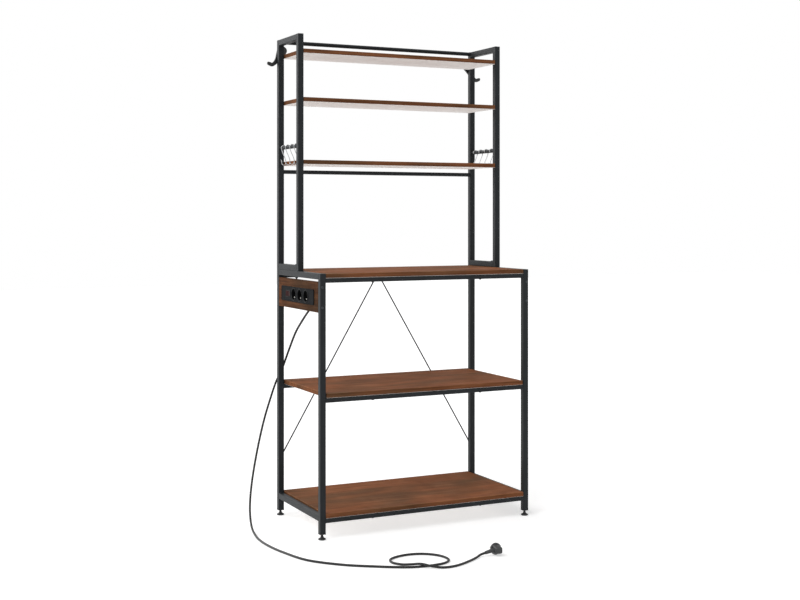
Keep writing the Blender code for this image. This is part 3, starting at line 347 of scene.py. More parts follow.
def bar(start, end, half_u, half_v, corner, ease=0.0008, side=(0, 0, 1), taper=(1.0, 1.0)):
    """A rounded rectangle carried from start to end; it draws in at both ends along a quarter circle
    of the ease's radius. The half_v axis is the side vector squared to the bar; both halves shrink
    evenly to their shares in taper."""
    start, end, side = (np.array(item, float) for item in (start, end, side))
    length = np.linalg.norm(end - start)
    along = (end - start) / length
    axis_u = np.cross(side, along)
    axis_u /= np.linalg.norm(axis_u)
    axis_v = np.cross(along, axis_u)
    place, inset = (column[:, None] for column in eased_ends(ease, length, 4))
    shrink_u, shrink_v = (1 + (share - 1) * place / length for share in taper)
    outline = rounded_outline(half_u * shrink_u - inset, half_v * shrink_v - inset,
                              np.maximum(corner - inset, 1e-5))
    return capped(start + along * place[..., None] + outline[..., :1] * axis_u + outline[..., 1:] * axis_v)


# Moulded PVC: dark grey, close to dull, with a fine even grain that takes the edge off its highlights. All
# moulded grains here are drawn at about 1 mm, coarser than real, so that they show.
plug_finish = new_finish("moulded_plug_pvc", "#333435", 0.46)
vary(plug_finish, 1.1, 2.0, dent=0.25)

face_edge = eased_profile([(0.0, 0.0), (0.0185, 0.0), (0.0185, 0.0050), (0.0150, 0.0062), (0.0, 0.0062)],
                          0.0009)
plug_shells = [turned(face_edge, plug_centre, plug_rear, 64)]
block_start = plug_centre + plug_rear * 0.0040
plug_shells.append(bar(block_start, block_start + plug_rear * 0.0285, 0.0130, 0.0148, corner=0.0050,
                       ease=0.0030, taper=(0.80, 0.62)))
for height in (-0.0070, -0.0035, 0.0, 0.0035, 0.0070):
    for wing in (-1, 1):
        ridge = block_start + plug_rear * 0.0085 + plug_across * wing * 0.0120 + np.array([0, 0, height])
        plug_shells.append(bar(ridge, ridge + plug_rear * 0.0150 - plug_across * wing * 0.0008,
                               0.0008, 0.0007, corner=0.0005, ease=0.0005))
boot_line = [(0.0, 0.0),
             *slotted_sleeve(boot_length, 0.0072, 0.0020, slots=8, first=0.34, last=0.95, count=73)]
plug_shells.append(turned(boot_line, boot_root, boot_way, 32))
plug = add_piece("plug_moulding", plug_shells, plug_finish, stands_for=["plug_body"])

# Nickel-plated brass, turned: a warm pale metal, bright, with a highlight that wear makes uneven.
pin_finish = new_finish("nickel_plated_brass", "#c8c6bf", 0.28, 1.0)
vary(pin_finish, 2.2, 3.0, roughness=(0.20, 0.38))

pin_shift, earth_rise = 0.0095, 0.0100
for i, shift in enumerate((-pin_shift, pin_shift)):
    root = plug_centre + plug_across * shift + plug_rear * 0.004
    line = eased_profile([(0.0, 0.0), (0.0024, 0.0), (0.0024, 0.0230), (0.0, 0.0230)], 0.0011)
    add_piece(f"plug_pin_{i + 1}_turned", [turned(line, root, -plug_rear, 28)], pin_finish,
                          stands_for=[f"plug_pin_{i + 1}"])
# The hole for a socket's earth pin shows as a plated ring round a dark middle, above the two pins.
contact_line = [(0.0028, -0.0010), (0.0036, -0.0010), (0.0036, 0.0002), (0.0028, 0.0002), (0.0028, -0.0010)]
contact_root = plug_centre + np.array([0, 0, earth_rise])
earth_contact = add_piece("plug_earth_contact", [turned(contact_line, contact_root, -plug_rear, 32)],
                          pin_finish)

# Side frames of the base
# Two legs and two side rails of 20 mm square steel tube on each side, cut square, welded and powder
# coated black. The outer faces are ground flush; small weld beads stay in the inner corners.
leg_x, leg_y = 0.390, 0.190
tube_half, tube_round = 0.010, 0.0018
leg_end, base_top = 0.0205, 0.8740
side_rail_heights = (0.0695, base_top - tube_half)
lap = 0.004
bead_half, bead_radius = 0.0080, 0.0014
both_sides = ((-1, "left"), (1, "right"))

# Powder coat, baked on: near black, with a fine orange peel and a soft satin gloss.
steel_finish = new_finish("powder_coated_steel_black", "#1f2122", 0.46, Specular_IOR_Level=0.16)
vary(steel_finish, 1.8, 3.0, dent=0.30, depth=0.0003)
vary(steel_finish, 70, 3.0, [(0.32, "#1f2224"), (0.70, "#26292c")], (0.38, 0.52))


def bead(start, end, radius):
    """A weld bead: a thin tube on a straight line. Its radius waves with each drop and closes at the ends."""
    run = np.linspace(0, 1, 29)
    path = np.array(start) + (np.array(end) - np.array(start)) * run[:, None]
    drops = 0.84 + 0.16 * np.abs(np.sin(run * np.pi * 6))
    swell = radius * drops * np.sqrt(np.clip(1 - (2 * run - 1) ** 6, 0, 1))
    return tube(path, np.maximum(swell, 1e-5), 10, (0, 0.6, 0.8))


def weld_ring(centre, axis, bar_radius, thickness):
    """A bead round a round bar: a small circle carried round a larger one, waving twelve times a turn."""
    turn, ring = full_turn(48), full_turn(10)
    width = thickness * (0.88 + 0.12 * np.abs(np.sin(turn * 6)))[:, None]
    radius = bar_radius + width * np.cos(ring)
    grid = np.zeros((48, 10, 3))
    first, second = [i for i in range(3) if i != axis]
    grid[..., first] = centre[first] + radius * np.cos(turn)[:, None]
    grid[..., second] = centre[second] + radius * np.sin(turn)[:, None]
    grid[..., axis] = centre[axis] + width * np.sin(ring)
    return skin(grid, along=True)


for side, name in both_sides:
    x = side * leg_x
    shells = [bar((x, y, leg_end), (x, y, base_top), tube_half, tube_half, tube_round, side=(0, 1, 0))
              for y in (-leg_y, leg_y)]
    reach = leg_y - tube_half + lap
    shells += [bar((x, -reach, z), (x, reach, z), tube_half, tube_half, tube_round)
               for z in side_rail_heights]
    for y in (tube_half - leg_y, leg_y - tube_half):
        shells += [bead((x - bead_half, y, z), (x + bead_half, y, z), bead_radius)
                   for z in (side_rail_heights[0] - tube_half, side_rail_heights[0] + tube_half,
                             side_rail_heights[1] - tube_half)]
    add_piece(f"base_tubes_{name}", shells, steel_finish, stands_for=[f"base_frame_{name}"],
              sharp=50, even=True)

# Levelling feet
# Each leg ends in a black plastic insert. A black moulded disc foot screws into it by its threaded stem,
# so that the rack can be set level; the disc's rim is fluted for the fingers.

# Nylon, injection moulded: black and half dull, with a fine grain that softens its highlights.
foot_finish = new_finish("injection_moulded_nylon_black", "#1b1c1d", 0.50)
vary(foot_finish, 0.9, 2.0, dent=0.22)


def coat(finish, *nodes):
    """A CAD node that is shown as it is gets the finish on all its material slots."""
    for node in nodes:
        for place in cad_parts[node].material_slots:
            place.material = finish


def foot_shape(x, y):
    """A turned disc: radius over height, and on the rim 30 flutes, radius less 0.35 mm times |sin(15 t)|."""
    profile = eased_profile([(0.0, 0.0), (0.01175, 0.0), (0.01275, 0.0010), (0.01275, 0.0035),
                             (0.0112, 0.0051), (0.0079, 0.0067), (0.0052, 0.0085), (0.0052, 0.0125),
                             (0.0, 0.0125)], 0.0008)
    turn = full_turn(120)
    rim = np.clip((profile[:, 0] - 0.0118) / 0.0008, 0, 1)[:, None]
    radius = profile[:, :1] - 0.00035 * rim * np.abs(np.sin(15 * turn))
    return skin(np.stack([x + radius * np.cos(turn), y + radius * np.sin(turn),
                          np.broadcast_to(profile[:, 1:], radius.shape)], -1))


def thread(x, y, low, high, radius, pitch, depth):
    """A screw thread: the radius is a sharp wave of height less turn, so each turn climbs by one pitch."""
    turn = full_turn(24)
    height = np.linspace(low, high, int((high - low) / pitch * 6))[:, None]
    wave = np.abs(2 * np.mod((height - low) / pitch - turn / (2 * np.pi), 1.0) - 1)
    cut = radius - depth * wave
    return capped(np.stack([x + cut * np.cos(turn), y + cut * np.sin(turn),
                            np.broadcast_to(height, cut.shape)], -1))


for row, y, short_row in (("front", -leg_y, "f"), ("back", leg_y, "b")):
    for side, x, short_side in (("left", -leg_x, "l"), ("right", leg_x, "r")):
        shells = [foot_shape(x, y),
                  thread(x, y, 0.0110, 0.0418, radius=0.0040, pitch=0.00125, depth=0.0006)]
        add_piece(f"levelling_foot_{row}_{side}", shells, foot_finish,
                  body=f"foot_{short_row}{short_side}", stands_for=[f"foot_{row}_{side}"], sharp=35)
        coat(foot_finish, f"leg_insert_{row}_{side}")

# Front and back rails
# Square steel tubes of 15 mm between the legs, one in front and one behind under each of the three
# lower boards. Domed screws come up through the front rails into the boards.
def box_middle(node):
    """The middle of a CAD node's box, and half its size."""
    low, high = (np.array(corner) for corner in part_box(node))
    return (low + high) / 2, (high - low) / 2


def screw_head(centre, outward, radius, height):
    """A pan head: height times the square root of 1 - r^4, r from 0 in the middle to 1 at the rim, less a
    cross recess where the nearer arm's middle line is close and the farther one not too far."""
    rings = np.concatenate([np.linspace(0.0, 0.60, 16), np.linspace(0.64, 1.0, 10)])
    turn = full_turn(48)
    along = np.abs(rings[:, None] * np.cos(turn))
    across = np.abs(rings[:, None] * np.sin(turn))
    recess = np.clip((0.55 - np.maximum(along, across)) / 0.10, 0, 1) * np.clip(
        (0.15 - np.minimum(along, across)) / 0.07, 0, 1)
    rise = height * (np.sqrt(np.clip(1 - rings ** 4, 0, 1))[:, None] - 0.62 * recess)
    outward, side, other = ring_axes(outward)
    ring = radius * rings[:, None, None] * (np.cos(turn)[:, None] * side + np.sin(turn)[:, None] * other)
    return skin(np.array(centre, float) + ring + rise[..., None] * outward, last=True)


rails = [f"{level}_rail_{row}" for level in ("bottom", "middle", "counter") for row in ("front", "back")]
for rail in rails:
    middle, half = box_middle(rail)
    reach = np.array([half[0], 0, 0])
    shells = [bar(middle - reach, middle + reach, half[1], half[2], tube_round)]
    add_piece(f"{rail}_tube", shells, steel_finish, stands_for=[rail], sharp=50, even=True)
rail_screw_x = 0.207
heads = [screw_head((x, box_middle(rail)[0][1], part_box(rail)[0][2]), (0, 0, -1), 0.0042, 0.0026)
         for rail in rails if rail.endswith("front") for x in (-rail_screw_x, rail_screw_x)]
add_piece("rail_screws", heads, steel_finish, sharp=35)

# Boards
# Particle board of 15 mm with a brown rustic-wood foil on top, an edge band of the same brown all round,
# and a pale backing paper below. The arrises are eased; the upper one is lighter, from wear and a painted
# highlight.
def wood_foil(name, stops, roughness, along=0, gain=1.0):
    """Printed wood foil. Grain is noise drawn out along the board, 6.5 mm wide by 260 mm long, with lines of
    1.6 by 120 mm between. Cloudy patches of 90 mm shade it, and fields of 150 by 420 mm lean to olive."""
    finish = new_finish(name, stops[0][1], roughness, Specular_IOR_Level=0.025)
    where = add_node(finish, "ShaderNodeTexCoord")
    layers = []
    for wide, long, detail in ((6.5, 260.0, 4.0), (1.6, 120.0, 2.0), (90.0, 90.0, 3.0), (150.0, 420.0, 2.0)):
        scale = [per_mm(wide)] * 3
        scale[along] = per_mm(long)
        stretch = add_node(finish, "ShaderNodeMapping", {"Scale": scale}, [(where, "Object", "Vector")])
        layers.append(add_node(finish, "ShaderNodeTexNoise",
                               {"Scale": 1.0, "Detail": detail, "Roughness": 0.6, "Distortion": 0.35},
                               [(stretch, "Vector", "Vector")]))
    grain, lines, patches, fields = layers
    total = (grain, "Fac")
    for layer, share in ((lines, 0.30 * gain), (patches, 0.45 * gain)):
        total = (add_node(finish, "ShaderNodeMath", {1: share}, [(layer, "Fac", 0), (*total, 2)],
                          settings={"operation": "MULTIPLY_ADD"}), "Value")
    middle = 0.5 + 0.375 * gain
    level = add_node(finish, "ShaderNodeMapRange", {"From Min": middle - 0.27, "From Max": middle + 0.27},
                     [(*total, "Value")])
    tone = add_node(finish, "ShaderNodeValToRGB", links=[(level, "Result", "Fac")], stops=stops)
    olive = add_node(finish, "ShaderNodeValToRGB", links=[(fields, "Fac", "Fac")],
                     stops=[(0.38, "#cce2ee"), (0.60, "#ffffff")])
    add_node(finish, "ShaderNodeMix", {"Factor": 1.0}, [(tone, "Color", 6), (olive, "Color", 7)],
             into=[(2, "Base Color")], settings={"data_type": "RGBA", "blend_type": "MULTIPLY"})
    add_node(finish, "ShaderNodeBump", {"Strength": 0.22, "Distance": 0.0003}, [(lines, "Fac", "Height")],
             into=[("Normal", "Normal")])
    add_node(finish, "ShaderNodeMapRange", {"To Min": roughness - 0.08, "To Max": roughness + 0.10},
             [(grain, "Fac", "Value")], into=[("Result", "Roughness")])
    return finish


# Melamine foil, printed and pressed: brown with darker streaks, close to dull, with fine pressed pores.
foil_finish = wood_foil("melamine_rustic_wood_foil",
                        [(0.0, "#633a24"), (0.38, "#805034"), (0.68, "#8e5b3e"), (1.0, "#a26f4e")], 0.66)
# ABS edge band in plain brown with a weaker grain, a little glossier than the top.
band_finish = wood_foil("abs_edge_band_brown", [(0.0, "#5e3823"), (0.5, "#7c4e33"), (1.0, "#935f40")], 0.58,
                        gain=0.8)
# The upper arris: the same print, lighter and smoother, for wear together with a painted highlight.
arris_wear_and_highlight_finish = wood_foil("edge_band_arris_wear_and_painted_highlight", [(0.0, "#8f6041"), (1.0, "#b5805a")], 0.50)
# Backing paper: pale, dull, with faint cloudiness.
backing_finish = new_finish("backing_paper_pale", "#f5f0ec", 0.70, Specular_IOR_Level=0.1)
vary(backing_finish, 35, 5.0, [(0.3, "#f0eae6"), (0.7, "#faf6f3")])


def slab(low, high, ease, corner):
    """A board: a rounded rectangle carried from its underside to its top, drawn in at both along a quarter
    circle of the ease's radius."""
    low, high = np.array(low), np.array(high)
    middle, half = (low + high) / 2, (high - low) / 2
    rise, inset = (column[:, None] for column in eased_ends(ease, 2 * half[2], 5))
    outline = rounded_outline(half[0] - inset, half[1] - inset, np.maximum(corner - inset, 1e-5), 4)
    height = np.broadcast_to((low[2] + rise)[..., None], (*outline.shape[:2], 1))
    return capped(np.concatenate([middle[:2] + outline, height], -1))


def finish_by_slope(piece, bounds):
    """Faces take a finish by their normal's upward part: the index of the first bound that it exceeds."""
    normals = np.empty(len(piece.data.polygons) * 3)
    piece.data.polygons.foreach_get("normal", normals)
    upward = normals.reshape(-1, 3)[:, 2]
    index = (upward[:, None] < np.array(bounds)).sum(1)
    piece.data.polygons.foreach_set("material_index", index.astype(np.int32))
    piece.data.update()


for node in ("bottom_board", "middle_board", "counter_board", "lower_shelf", "centre_shelf", "upper_shelf"):
    board = add_piece(f"{node}_panel", [slab(*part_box(node), ease=0.0012, corner=0.0016)],
                      [foil_finish, arris_wear_and_highlight_finish, band_finish, backing_finish],
                      stands_for=[node], sharp=60, even=True)
    # The upper arris faces take the lighter print: wear with a painted highlight.
    finish_by_slope(board, (0.95, 0.25, -0.25))

# Hutch side frames
# Two uprights and two rails of the same tube stand on the base frame's back half. A round bar is welded
# between the uprights a little above the lower shelf and carries the wire hooks.
front_upright_y = 0.0050
hutch_foot, hutch_top = 0.8743, 1.6880
hook_bar_height, hook_bar_radius, hook_bar_lap = 1.3040, 0.0065, 0.0020
front_face, back_face = front_upright_y + tube_half, leg_y - tube_half
for side, name in both_sides:
    x = side * leg_x
    shells = [bar((x, y, hutch_foot), (x, y, hutch_top), tube_half, tube_half, tube_round, side=(0, 1, 0))
              for y in (front_upright_y, leg_y)]
    shells += [bar((x, front_face - lap, z), (x, back_face + lap, z), tube_half, tube_half, tube_round)
               for z in (hutch_foot + tube_half, hutch_top - tube_half)]
    run = np.array([[x, y, hook_bar_height] for y in (front_face - hook_bar_lap, 0.0500, 0.1450,
                                                      back_face + hook_bar_lap)])
    shells.append(tube(run, hook_bar_radius, 32, (0, 0, 1)))
    for y in (front_face, back_face):
        shells.append(weld_ring((x, y, hook_bar_height), 1, hook_bar_radius, 0.0013))
        shells += [bead((x - bead_half, y, z), (x + bead_half, y, z), bead_radius)
                   for z in (hutch_foot + 2 * tube_half, hutch_top - 2 * tube_half)]
    add_piece(f"hutch_tubes_{name}", shells, steel_finish,
              stands_for=[f"hutch_frame_{name}"], sharp=50, even=True)

# Back bars
# Round steel tubes of 14 mm between the back uprights: one at the top, one just under the lower shelf.
# A small weld bead runs round each end.
back_bar_radius = 0.0070
for node in ("hanging_back_bar", "top_back_bar"):
    middle, half = box_middle(node)
    run = middle + np.linspace(-1, 1, 6)[:, None] * np.array([half[0], 0, 0])
    shells = [tube(run, back_bar_radius, 40, (0, 0, 1))]
    shells += [weld_ring(middle + np.array([wing * half[0], 0, 0]), 0, back_bar_radius, 0.0009)
               for wing in (-1, 1)]
    add_piece(f"{node}_tube", shells, steel_finish, stands_for=[node], sharp=35)

# Brace rods
# Two thin steel rods lean together behind the base, like an A without its bar. Their ends are pressed
# flat, drilled, and held by pan-head screws: one low on each back leg, and one through both upper eyes in
# the middle of the counter's back rail.
coat(steel_finish, "brace_rod_left", "brace_rod_right")

# Zinc-plated steel: pale bluish grey, bright but slightly cloudy.
zinc_finish = new_finish("zinc_plated_steel", "#b9bcc0", 0.34, 1.0)
vary(zinc_finish, 2.5, 4.0, [(0.3, "#a7abb0"), (0.7, "#c6c8ca")], (0.26, 0.46))


def shank(start, end, radius):
    """A plain round shank, its end drawn in by a short chamfer."""
    start, end = np.array(start, float), np.array(end, float)
    length = np.linalg.norm(end - start)
    line = [(0.0, 0.0), (radius, 0.0), (radius, length - 0.0008), (radius - 0.0007, length), (0.0, length)]
    return turned(line, start, end - start, 20)


brace_head_rise = 0.0022
for node in ("brace_screw_left", "brace_screw_middle", "brace_screw_right"):
    low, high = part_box(node)
    x, _, z = box_middle(node)[0]
    seat = (x, high[1] - brace_head_rise, z)
    add_piece(f"{node}_turned", [screw_head(seat, (0, 1, 0), 0.0046, brace_head_rise),
                                 shank(seat, (x, low[1], z), 0.0020)],
              zinc_finish, stands_for=[node], sharp=35)

# Screws through the legs
# Two pan-head screws through each left leg hold the outlet board by its end grain. The right frame is
# the same weldment, so the same screws close its holes.

# Black-passivated zinc: a dark grey metal, cloudy, with a dim highlight.
screw_finish = new_finish("black_zinc_plated_steel", "#46494c", 0.42, 1.0)
vary(screw_finish, 2.0, 4.0, roughness=(0.34, 0.52))
head_radius, head_rise = 0.0047, 0.0024
seat_y = leg_y + tube_half + 0.0001
mirrored = []
for node in ("outlet_screw_front_1", "outlet_screw_front_2", "outlet_screw_back_1", "outlet_screw_back_2"):
    low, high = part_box(node)
    x, _, z = box_middle(node)[0]
    outward, end_y = (-1, high[1]) if "front" in node else (1, low[1])
    head, far_head = (screw_head((place, outward * seat_y, z), (0, outward, 0), head_radius, head_rise)
                      for place in (x, -x))
    add_piece(f"{node}_turned", [head, shank((x, outward * seat_y, z), (x, end_y, z), 0.0023)],
              screw_finish, stands_for=[node], sharp=35)
    mirrored.append(far_head)
add_piece("right_frame_screws", mirrored, screw_finish, sharp=35)

# Hutch bolts
# A domed bolt on each side goes down through the hutch's lower rail and the base's side rail. Its nut and
# the end of its thread show in the slot above the outlet board.
def hex_nut(centre, across, height):
    """A nut: hexagon radius across / (2 cos) of the angle within each flat, chamfered towards both faces."""
    turn = full_turn(48)
    flat = across / 2 / np.cos(np.mod(turn, np.pi / 3) - np.pi / 6)
    round_limit = across / 2 * np.array([0.55, 1.0, 1.13, 1.2, 1.2, 1.13, 1.0, 0.55])[:, None]
    rise = height * np.array([0.0, 0.0, 0.13, 0.20, 0.80, 0.87, 1.0, 1.0])[:, None]
    radius = np.minimum(flat, round_limit)
    return capped(np.stack([centre[0] + radius * np.cos(turn), centre[1] + radius * np.sin(turn),
                            np.broadcast_to(centre[2] + rise, radius.shape)], -1))


bolt_y, bolt_end = 0.0355, 0.8464
rail_top, washer_rise = hutch_foot + 2 * tube_half, 0.0007
washer = eased_profile([(0.0, 0.0), (0.0066, 0.0), (0.0066, washer_rise), (0.0, washer_rise)], 0.0002)
for side, name in both_sides:
    x, y = side * leg_x, bolt_y
    shells = [screw_head((x, y, rail_top + washer_rise), (0, 0, 1), 0.0058, 0.0026),
              turned(washer, (x, y, rail_top), (0, 0, 1), 32),
              shank((x, y, rail_top + washer_rise), (x, y, bolt_end + 0.0006), 0.0029),
              thread(x, y, bolt_end, bolt_end + 0.0081, radius=0.0030, pitch=0.0010, depth=0.0005),
              hex_nut((x, y, bolt_end + 0.0028), 0.0098, 0.0048)]
    add_piece(f"hutch_bolt_{name}_set", shells, screw_finish,
              stands_for=[f"hutch_bolt_{name}"], sharp=35)

# Outlet board
# A narrow piece of the same kind of board stands on edge between the left legs. It is screwed through
# both legs and cut out for the sockets. Its grain runs from front to back.

# The same kind of foil, its colours darkened as painted shade against the strong light on this left-facing
# board; close to dull.
outlet_shaded_foil_finish = wood_foil("melamine_wood_foil_upright_painted_shade",
                          [(0.0, "#3a2214"), (0.40, "#56341f"), (0.62, "#684028"), (1.0, "#805236")],
                          0.60, along=1)
coat(outlet_shaded_foil_finish, "outlet_board")

# Socket strip
# A moulded dark-grey housing is let into the outlet board from outside. A narrow raised rim runs round
# its face; round sockets and the switch are set into it. A flat cover closes it at the back.

# ABS, moulded: near black, dull, with a fine even pebble and a faint haze.
strip_finish = new_finish("moulded_abs_dark_grey", "#121416", 0.58, Specular_IOR_Level=0.04)
where = add_node(strip_finish, "ShaderNodeTexCoord")
pebble = add_node(strip_finish, "ShaderNodeTexVoronoi", {"Scale": per_mm(0.9)}, [(where, "Object", "Vector")])
add_node(strip_finish, "ShaderNodeBump", {"Strength": 0.18, "Distance": 0.0002},
         [(pebble, "Distance", "Height")], [("Normal", "Normal")])
vary(strip_finish, 45, 3.0, [(0.3, "#101214"), (0.7, "#151719")])
coat(strip_finish, "strip_housing", "strip_cover")

strip_face_x = -0.4020
strip_half_y, strip_half_z = 0.14725, 0.02575


def right_hand(curve):
    """Unit vectors to the right of a closed flat curve, from each point's two neighbours."""
    ahead = np.roll(curve, -1, 0) - np.roll(curve, 1, 0)
    ahead /= np.linalg.norm(ahead, axis=1, keepdims=True)
    return np.stack([ahead[:, 1], -ahead[:, 0]], -1)


def frame_ring(half_y, half_z, corner, width, rise, centre_y):
    """A raised rim: a low rounded section, width by rise, carried round a rounded rectangle on the face."""
    edge = rounded_outline(half_y - width / 2, half_z - width / 2, corner, 8)
    section = rounded_outline(width / 2, rise, min(width, rise) * 0.45, 4)
    across = edge[:, None] + right_hand(edge)[:, None] * section[None, :, :1] + (centre_y, strip_z)
    depth = np.broadcast_to(strip_face_x - section[None, :, 1:], (*across.shape[:2], 1))
    return skin(np.concatenate([depth, across], -1), along=True)


add_piece("strip_rim", [frame_ring(strip_half_y, strip_half_z, corner=0.0042, width=0.0022, rise=0.0009,
                                   centre_y=0.0)], strip_finish, sharp=35)

# Sockets
# Three earthed sockets: each is a deep round cup in black polyamide with a raised lip, two pin holes,
# and below them a bright earth pin that stands out of the floor.

# Polyamide, moulded: black and half dull, with a weak grain that leaves the cups almost smooth.
socket_finish = new_finish("moulded_polyamide_black", "#111213", 0.45, Specular_IOR_Level=0.08)
vary(socket_finish, 1.3, 2.0, dent=0.12)

cup_depth = 0.0170
cup_floor = strip_face_x + cup_depth
lip = eased_profile([(0.0193, 0.0006), (0.0190, 0.0000), (0.0190, -0.0010), (0.0222, -0.0012),
                     (0.0226, 0.0003), (0.0200, 0.0003), (0.0193, 0.0006)], 0.0005)
earth_line = eased_profile([(0.0, 0.0), (0.00245, 0.0), (0.00245, 0.0142), (0.0, 0.0142)], 0.0015)
middle_socket_y, socket_pitch = -0.0220, 0.0545
for i in range(3):
    y = middle_socket_y + (i - 1) * socket_pitch
    shells = [turned(lip, (strip_face_x, y, strip_z), (1, 0, 0), 72)]
    for hole, shift, rise in ((0.0026, -pin_shift, 0), (0.0026, pin_shift, 0), (0.0025, 0, -earth_rise)):
        rim = eased_profile([(hole, 0.0004), (hole, -0.0006), (hole + 0.0014, -0.0006),
                             (hole + 0.0017, 0.0004), (hole, 0.0004)], 0.0002)
        shells.append(turned(rim, (cup_floor, y + shift, strip_z + rise), (1, 0, 0), 24))
    add_piece(f"socket_{i + 1}_trim", shells, socket_finish, sharp=35)
    coat(socket_finish, f"socket_{i + 1}")
    earth_pin = turned(earth_line, (cup_floor, y, strip_z - earth_rise), (-1, 0, 0), 28)
    add_piece(f"socket_{i + 1}_earth_pin", [earth_pin], pin_finish, sharp=35)

# Rocker switch
# A dull red rocker tips about an upright axis in a black frame. Its face is a shallow hollow between two
# raised ends, and the corners are eased.

# Polycarbonate tinted red, unlit: a deep brownish red that a slight cloudiness keeps from looking painted.
rocker_finish = new_finish("moulded_polycarbonate_red", "#331413", 0.45, Specular_IOR_Level=0.08)
vary(rocker_finish, 9, 2.0, [(0.3, "#2c1110"), (0.7, "#3a1716")])
rocker_x, rocker_y = -0.4000, 0.0855


def rocker_face():
    """Across the switch a rounded section, along it a shallow V: the face lies 0.6 mm proud in the middle
    and rises with the distance to the power 1.35 by 2.6 mm. Over the last 7 percent at each end a square
    takes off up to 1.2 mm, and the whole is turned 7 degrees."""
    v = np.concatenate([[-1], -np.cos(np.linspace(0.03, np.pi - 0.03, 45)), [1]])
    half_y, half_z = 0.0170, 0.0095
    y = v * half_y
    top = 0.0006 + 0.0026 * np.abs(v) ** 1.35 - 0.0012 * np.clip((np.abs(v) - 0.93) / 0.07, 0, 1) ** 2
    bottom = -0.0018 - 0.0024 * (1 - np.abs(v))
    section = rounded_outline(1.0, 1.0, 0.22, 6)
    middle, half = (top + bottom) / 2, (top - bottom) / 2
    x = -(middle[:, None] + half[:, None] * section[None, :, 1])
    z = half_z * section[None, :, 0] * np.ones_like(x)
    grid = np.stack([x, np.broadcast_to(y[:, None], x.shape), z], -1)
    angle = math.radians(7.0)
    turn = np.array([[math.cos(angle), -math.sin(angle), 0],
                     [math.sin(angle), math.cos(angle), 0], [0, 0, 1]])
    return capped(grid @ turn.T + np.array([rocker_x, rocker_y, strip_z]))


shells = [rocker_face()]
shells += [shank((rocker_x, rocker_y, strip_z), (rocker_x, rocker_y, strip_z + stub), 0.0012)
           for stub in (0.0108, -0.0108)]
add_piece("rocker_key", shells, rocker_finish, body="rocker", stands_for=["rocker_switch"])
add_piece("rocker_bezel", [frame_ring(0.0198, 0.0122, corner=0.0016, width=0.0022, rise=0.0010,
                                      centre_y=rocker_y)], socket_finish, sharp=35)

# Wire hooks
# Four S-hooks of 3 mm nickel-plated wire hang on each hook bar. The upper loop lies round the bar, the
# stem crosses under it and leans on the lower shelf's end, and the lower bend opens outwards.

# Nickel-plated wire: a pale neutral metal, drawn smooth and bright, whose highlight breaks up a little.
wire_finish = new_finish("nickel_plated_wire", "#b4b5b6", 0.27, 1.0)
vary(wire_finish, 4, 4.0, roughness=(0.20, 0.38))


def hook_path():
    """Outwards and up from the bar's axis: an arc of 215 degrees round the bar, a stem that eases across as
    3 s^2 - 2 s^3, half a circle of 8 mm, and a flared tip."""
    loop, bend, bend_out, stem = 0.0083, 0.0080, -0.0005, 0.053
    arc = np.radians(np.linspace(215, 0, 40))
    share = np.linspace(0, 1, 26)[1:-1]
    turn = np.radians(np.linspace(180, 360, 34))
    tip = np.linspace(0, 1, 9)[1:]
    out = np.concatenate([loop * np.cos(arc), loop + (bend_out - bend - loop) * share ** 2 * (3 - 2 * share),
                          bend_out + bend * np.cos(turn), bend_out + bend + 0.0030 * tip ** 1.6])
    up = np.concatenate([loop * np.sin(arc), -stem * share, -stem + bend * np.sin(turn),
                         -stem + 0.0105 * tip])
    return out, up


hook_out, hook_up = hook_path()
run = np.concatenate([[0], np.cumsum(np.hypot(np.diff(hook_out), np.diff(hook_up)))])
# The wire is 3 mm thick, and its ends round off over their last 1.2 mm.
end_gap = np.minimum(run, run[-1] - run)
hook_radius = 0.0015 * np.sqrt(np.clip(1 - np.clip(1 - end_gap / 0.0012, 0, 0.98) ** 2, 0, 1))
first_hook_y, hook_pitch = 0.0375, 0.0400
for side, name in both_sides:
    for i in range(4):
        hook_y = np.full_like(hook_out, first_hook_y + i * hook_pitch)
        path = np.stack([side * (leg_x + hook_out), hook_y, hook_bar_height + hook_up], -1)
        wire = tube(path, hook_radius, 18, (0, 1, 0))
        add_piece(f"wire_hook_{name}_{i + 1}", [wire], wire_finish, body=f"hook_{name}_{i + 1}",
                  stands_for=[f"s_hook_{name}_{i + 1}"])

# Clip hooks
# Two black moulded hooks sit behind the back uprights, each on a peg pushed into the tube. The leaf is
# broad above, and its arm curves outwards to an upturned tip for small things.

# Nylon, moulded: black, a little glossier than the feet, so that its edges catch the light.
clip_finish = new_finish("moulded_nylon_clip_black", "#1a1b1c", 0.40)
vary(clip_finish, 1.0, 2.0, dent=0.20)

leaf_knots = np.array([
    (0.0120, 0.0190), (0.0240, 0.0130), (0.0290, 0.0030), (0.0250, -0.0080), (0.0140, -0.0200),
    (0.0000, -0.0350), (-0.0140, -0.0490), (-0.0260, -0.0555), (-0.0370, -0.0530), (-0.0445, -0.0480),
    (-0.0435, -0.0400), (-0.0350, -0.0405), (-0.0275, -0.0425), (-0.0200, -0.0360), (-0.0140, -0.0240),
    (-0.0110, -0.0100), (-0.0060, 0.0070), (0.0020, 0.0160)])
leaf_front, leaf_depth = leg_y + tube_half + 0.0003, 0.0070
peg_root, peg_end = 0.2040, 0.1920


def leaf(side, height):
    """A closed curve through the knots, carried through the leaf's depth; near both faces it draws in
    along its own normals by a quarter circle of 0.9 mm."""
    around = np.vstack([leaf_knots[-2:], leaf_knots, leaf_knots[:3]])
    curve = smooth_route(np.column_stack([around, np.zeros(len(around))]), 10)
    curve = curve[20:20 + 10 * len(leaf_knots), :2]
    place, inset = eased_ends(0.0009, leaf_depth, 5)
    flat = curve[None] + right_hand(curve)[None] * inset[:, None, None]
    depth = np.broadcast_to((leaf_front + place)[:, None], flat.shape[:2])
    return capped(np.stack([side * (leg_x - flat[..., 0]), depth, height + flat[..., 1]], -1))


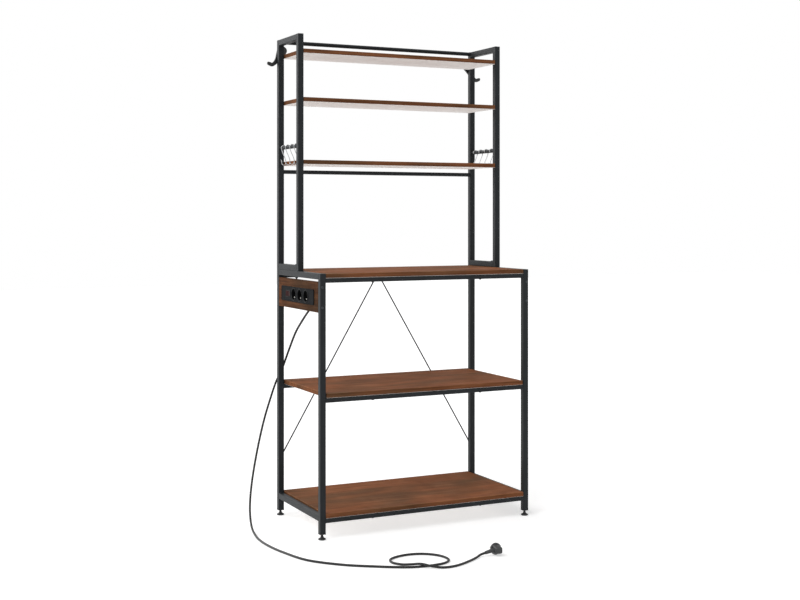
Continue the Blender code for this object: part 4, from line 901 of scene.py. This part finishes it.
for side, name, height in ((-1, "left", 1.651), (1, "right", 1.633)):
    shells = [leaf(side, height),
              shank((side * leg_x, peg_root, height), (side * leg_x, peg_end, height), 0.0030)]
    add_piece(f"clip_hook_{name}_moulding", shells, clip_finish,
              stands_for=[f"clip_hook_{name}"], sharp=45, even=True)

# Floor, light and background
# A plain pale floor and soft studio light. What the camera sees past the floor is plain white.
floor_reach, floor_level = 14, -0.0002
corners = [(x * floor_reach, y * floor_reach, floor_level) for x, y in ((-1, -1), (1, -1), (1, 1), (-1, 1))]
floor_mesh = bpy.data.meshes.new("floor")
floor_mesh.from_pydata(corners, [], [(0, 1, 2, 3)])
placed("floor", floor_mesh)
# Matt white paper. To the camera it lifts towards plain white, so only the object's soft shadow shows on it.
floor_finish = new_finish("matt_white_paper", "#f2f2f2", 0.90, Specular_IOR_Level=0.1,
                          Emission_Color=linear("#ffffff"))
either = {"operation": "MAXIMUM"}
rays = add_node(floor_finish, "ShaderNodeLightPath")
seen = add_node(floor_finish, "ShaderNodeMath",
                links=[(rays, "Is Camera Ray", 0), (rays, "Is Glossy Ray", 1)], settings=either)
add_node(floor_finish, "ShaderNodeMath", {1: 0.44}, [(seen, "Value", 0)],
         [("Value", "Emission Strength")], {"operation": "MULTIPLY"})
floor_mesh.materials.append(floor_finish)

world = bpy.data.worlds.new("studio")
bpy.context.scene.world = world
world.use_nodes = True
world.node_tree.nodes["Background"].inputs["Color"].default_value = linear("#ffffff")
rays = add_node(world, "ShaderNodeLightPath")
direct = add_node(world, "ShaderNodeMath",
                  links=[(rays, "Is Camera Ray", 0), (rays, "Is Glossy Ray", 1)], settings=either)
seen = add_node(world, "ShaderNodeMath",
                links=[(direct, "Value", 0), (rays, "Is Transmission Ray", 1)], settings=either)
add_node(world, "ShaderNodeMapRange", {"To Min": 0.32, "To Max": 1.0}, [(seen, "Value", "Value")],
         [("Result", "Strength")])


def broad_light(name, towards, angle, strength, shadow=True):
    """A sun lamp with a wide disc, which lights the object and the floor evenly; towards points at it."""
    lamp = bpy.data.lights.new(name, "SUN")
    lamp.angle = math.radians(angle)
    lamp.energy = strength
    lamp.use_shadow = shadow
    x, y, z = np.array(towards) / np.linalg.norm(towards)
    placed(name, lamp).rotation_euler = (math.acos(z), 0, math.atan2(x, -y))


broad_light("key_from_left", (-0.62, -0.22, 0.75), 45, 1.30)
broad_light("rim_from_behind_left", (-0.55, 0.70, 0.45), 45, 1.40)
broad_light("fill_from_front", (0.25, -0.75, 0.60), 70, 0.20)
broad_light("bounce_from_floor", (0.10, -0.20, -0.95), 90, 1.30, shadow=False)

bpy.context.scene.view_settings.view_transform = "Standard"
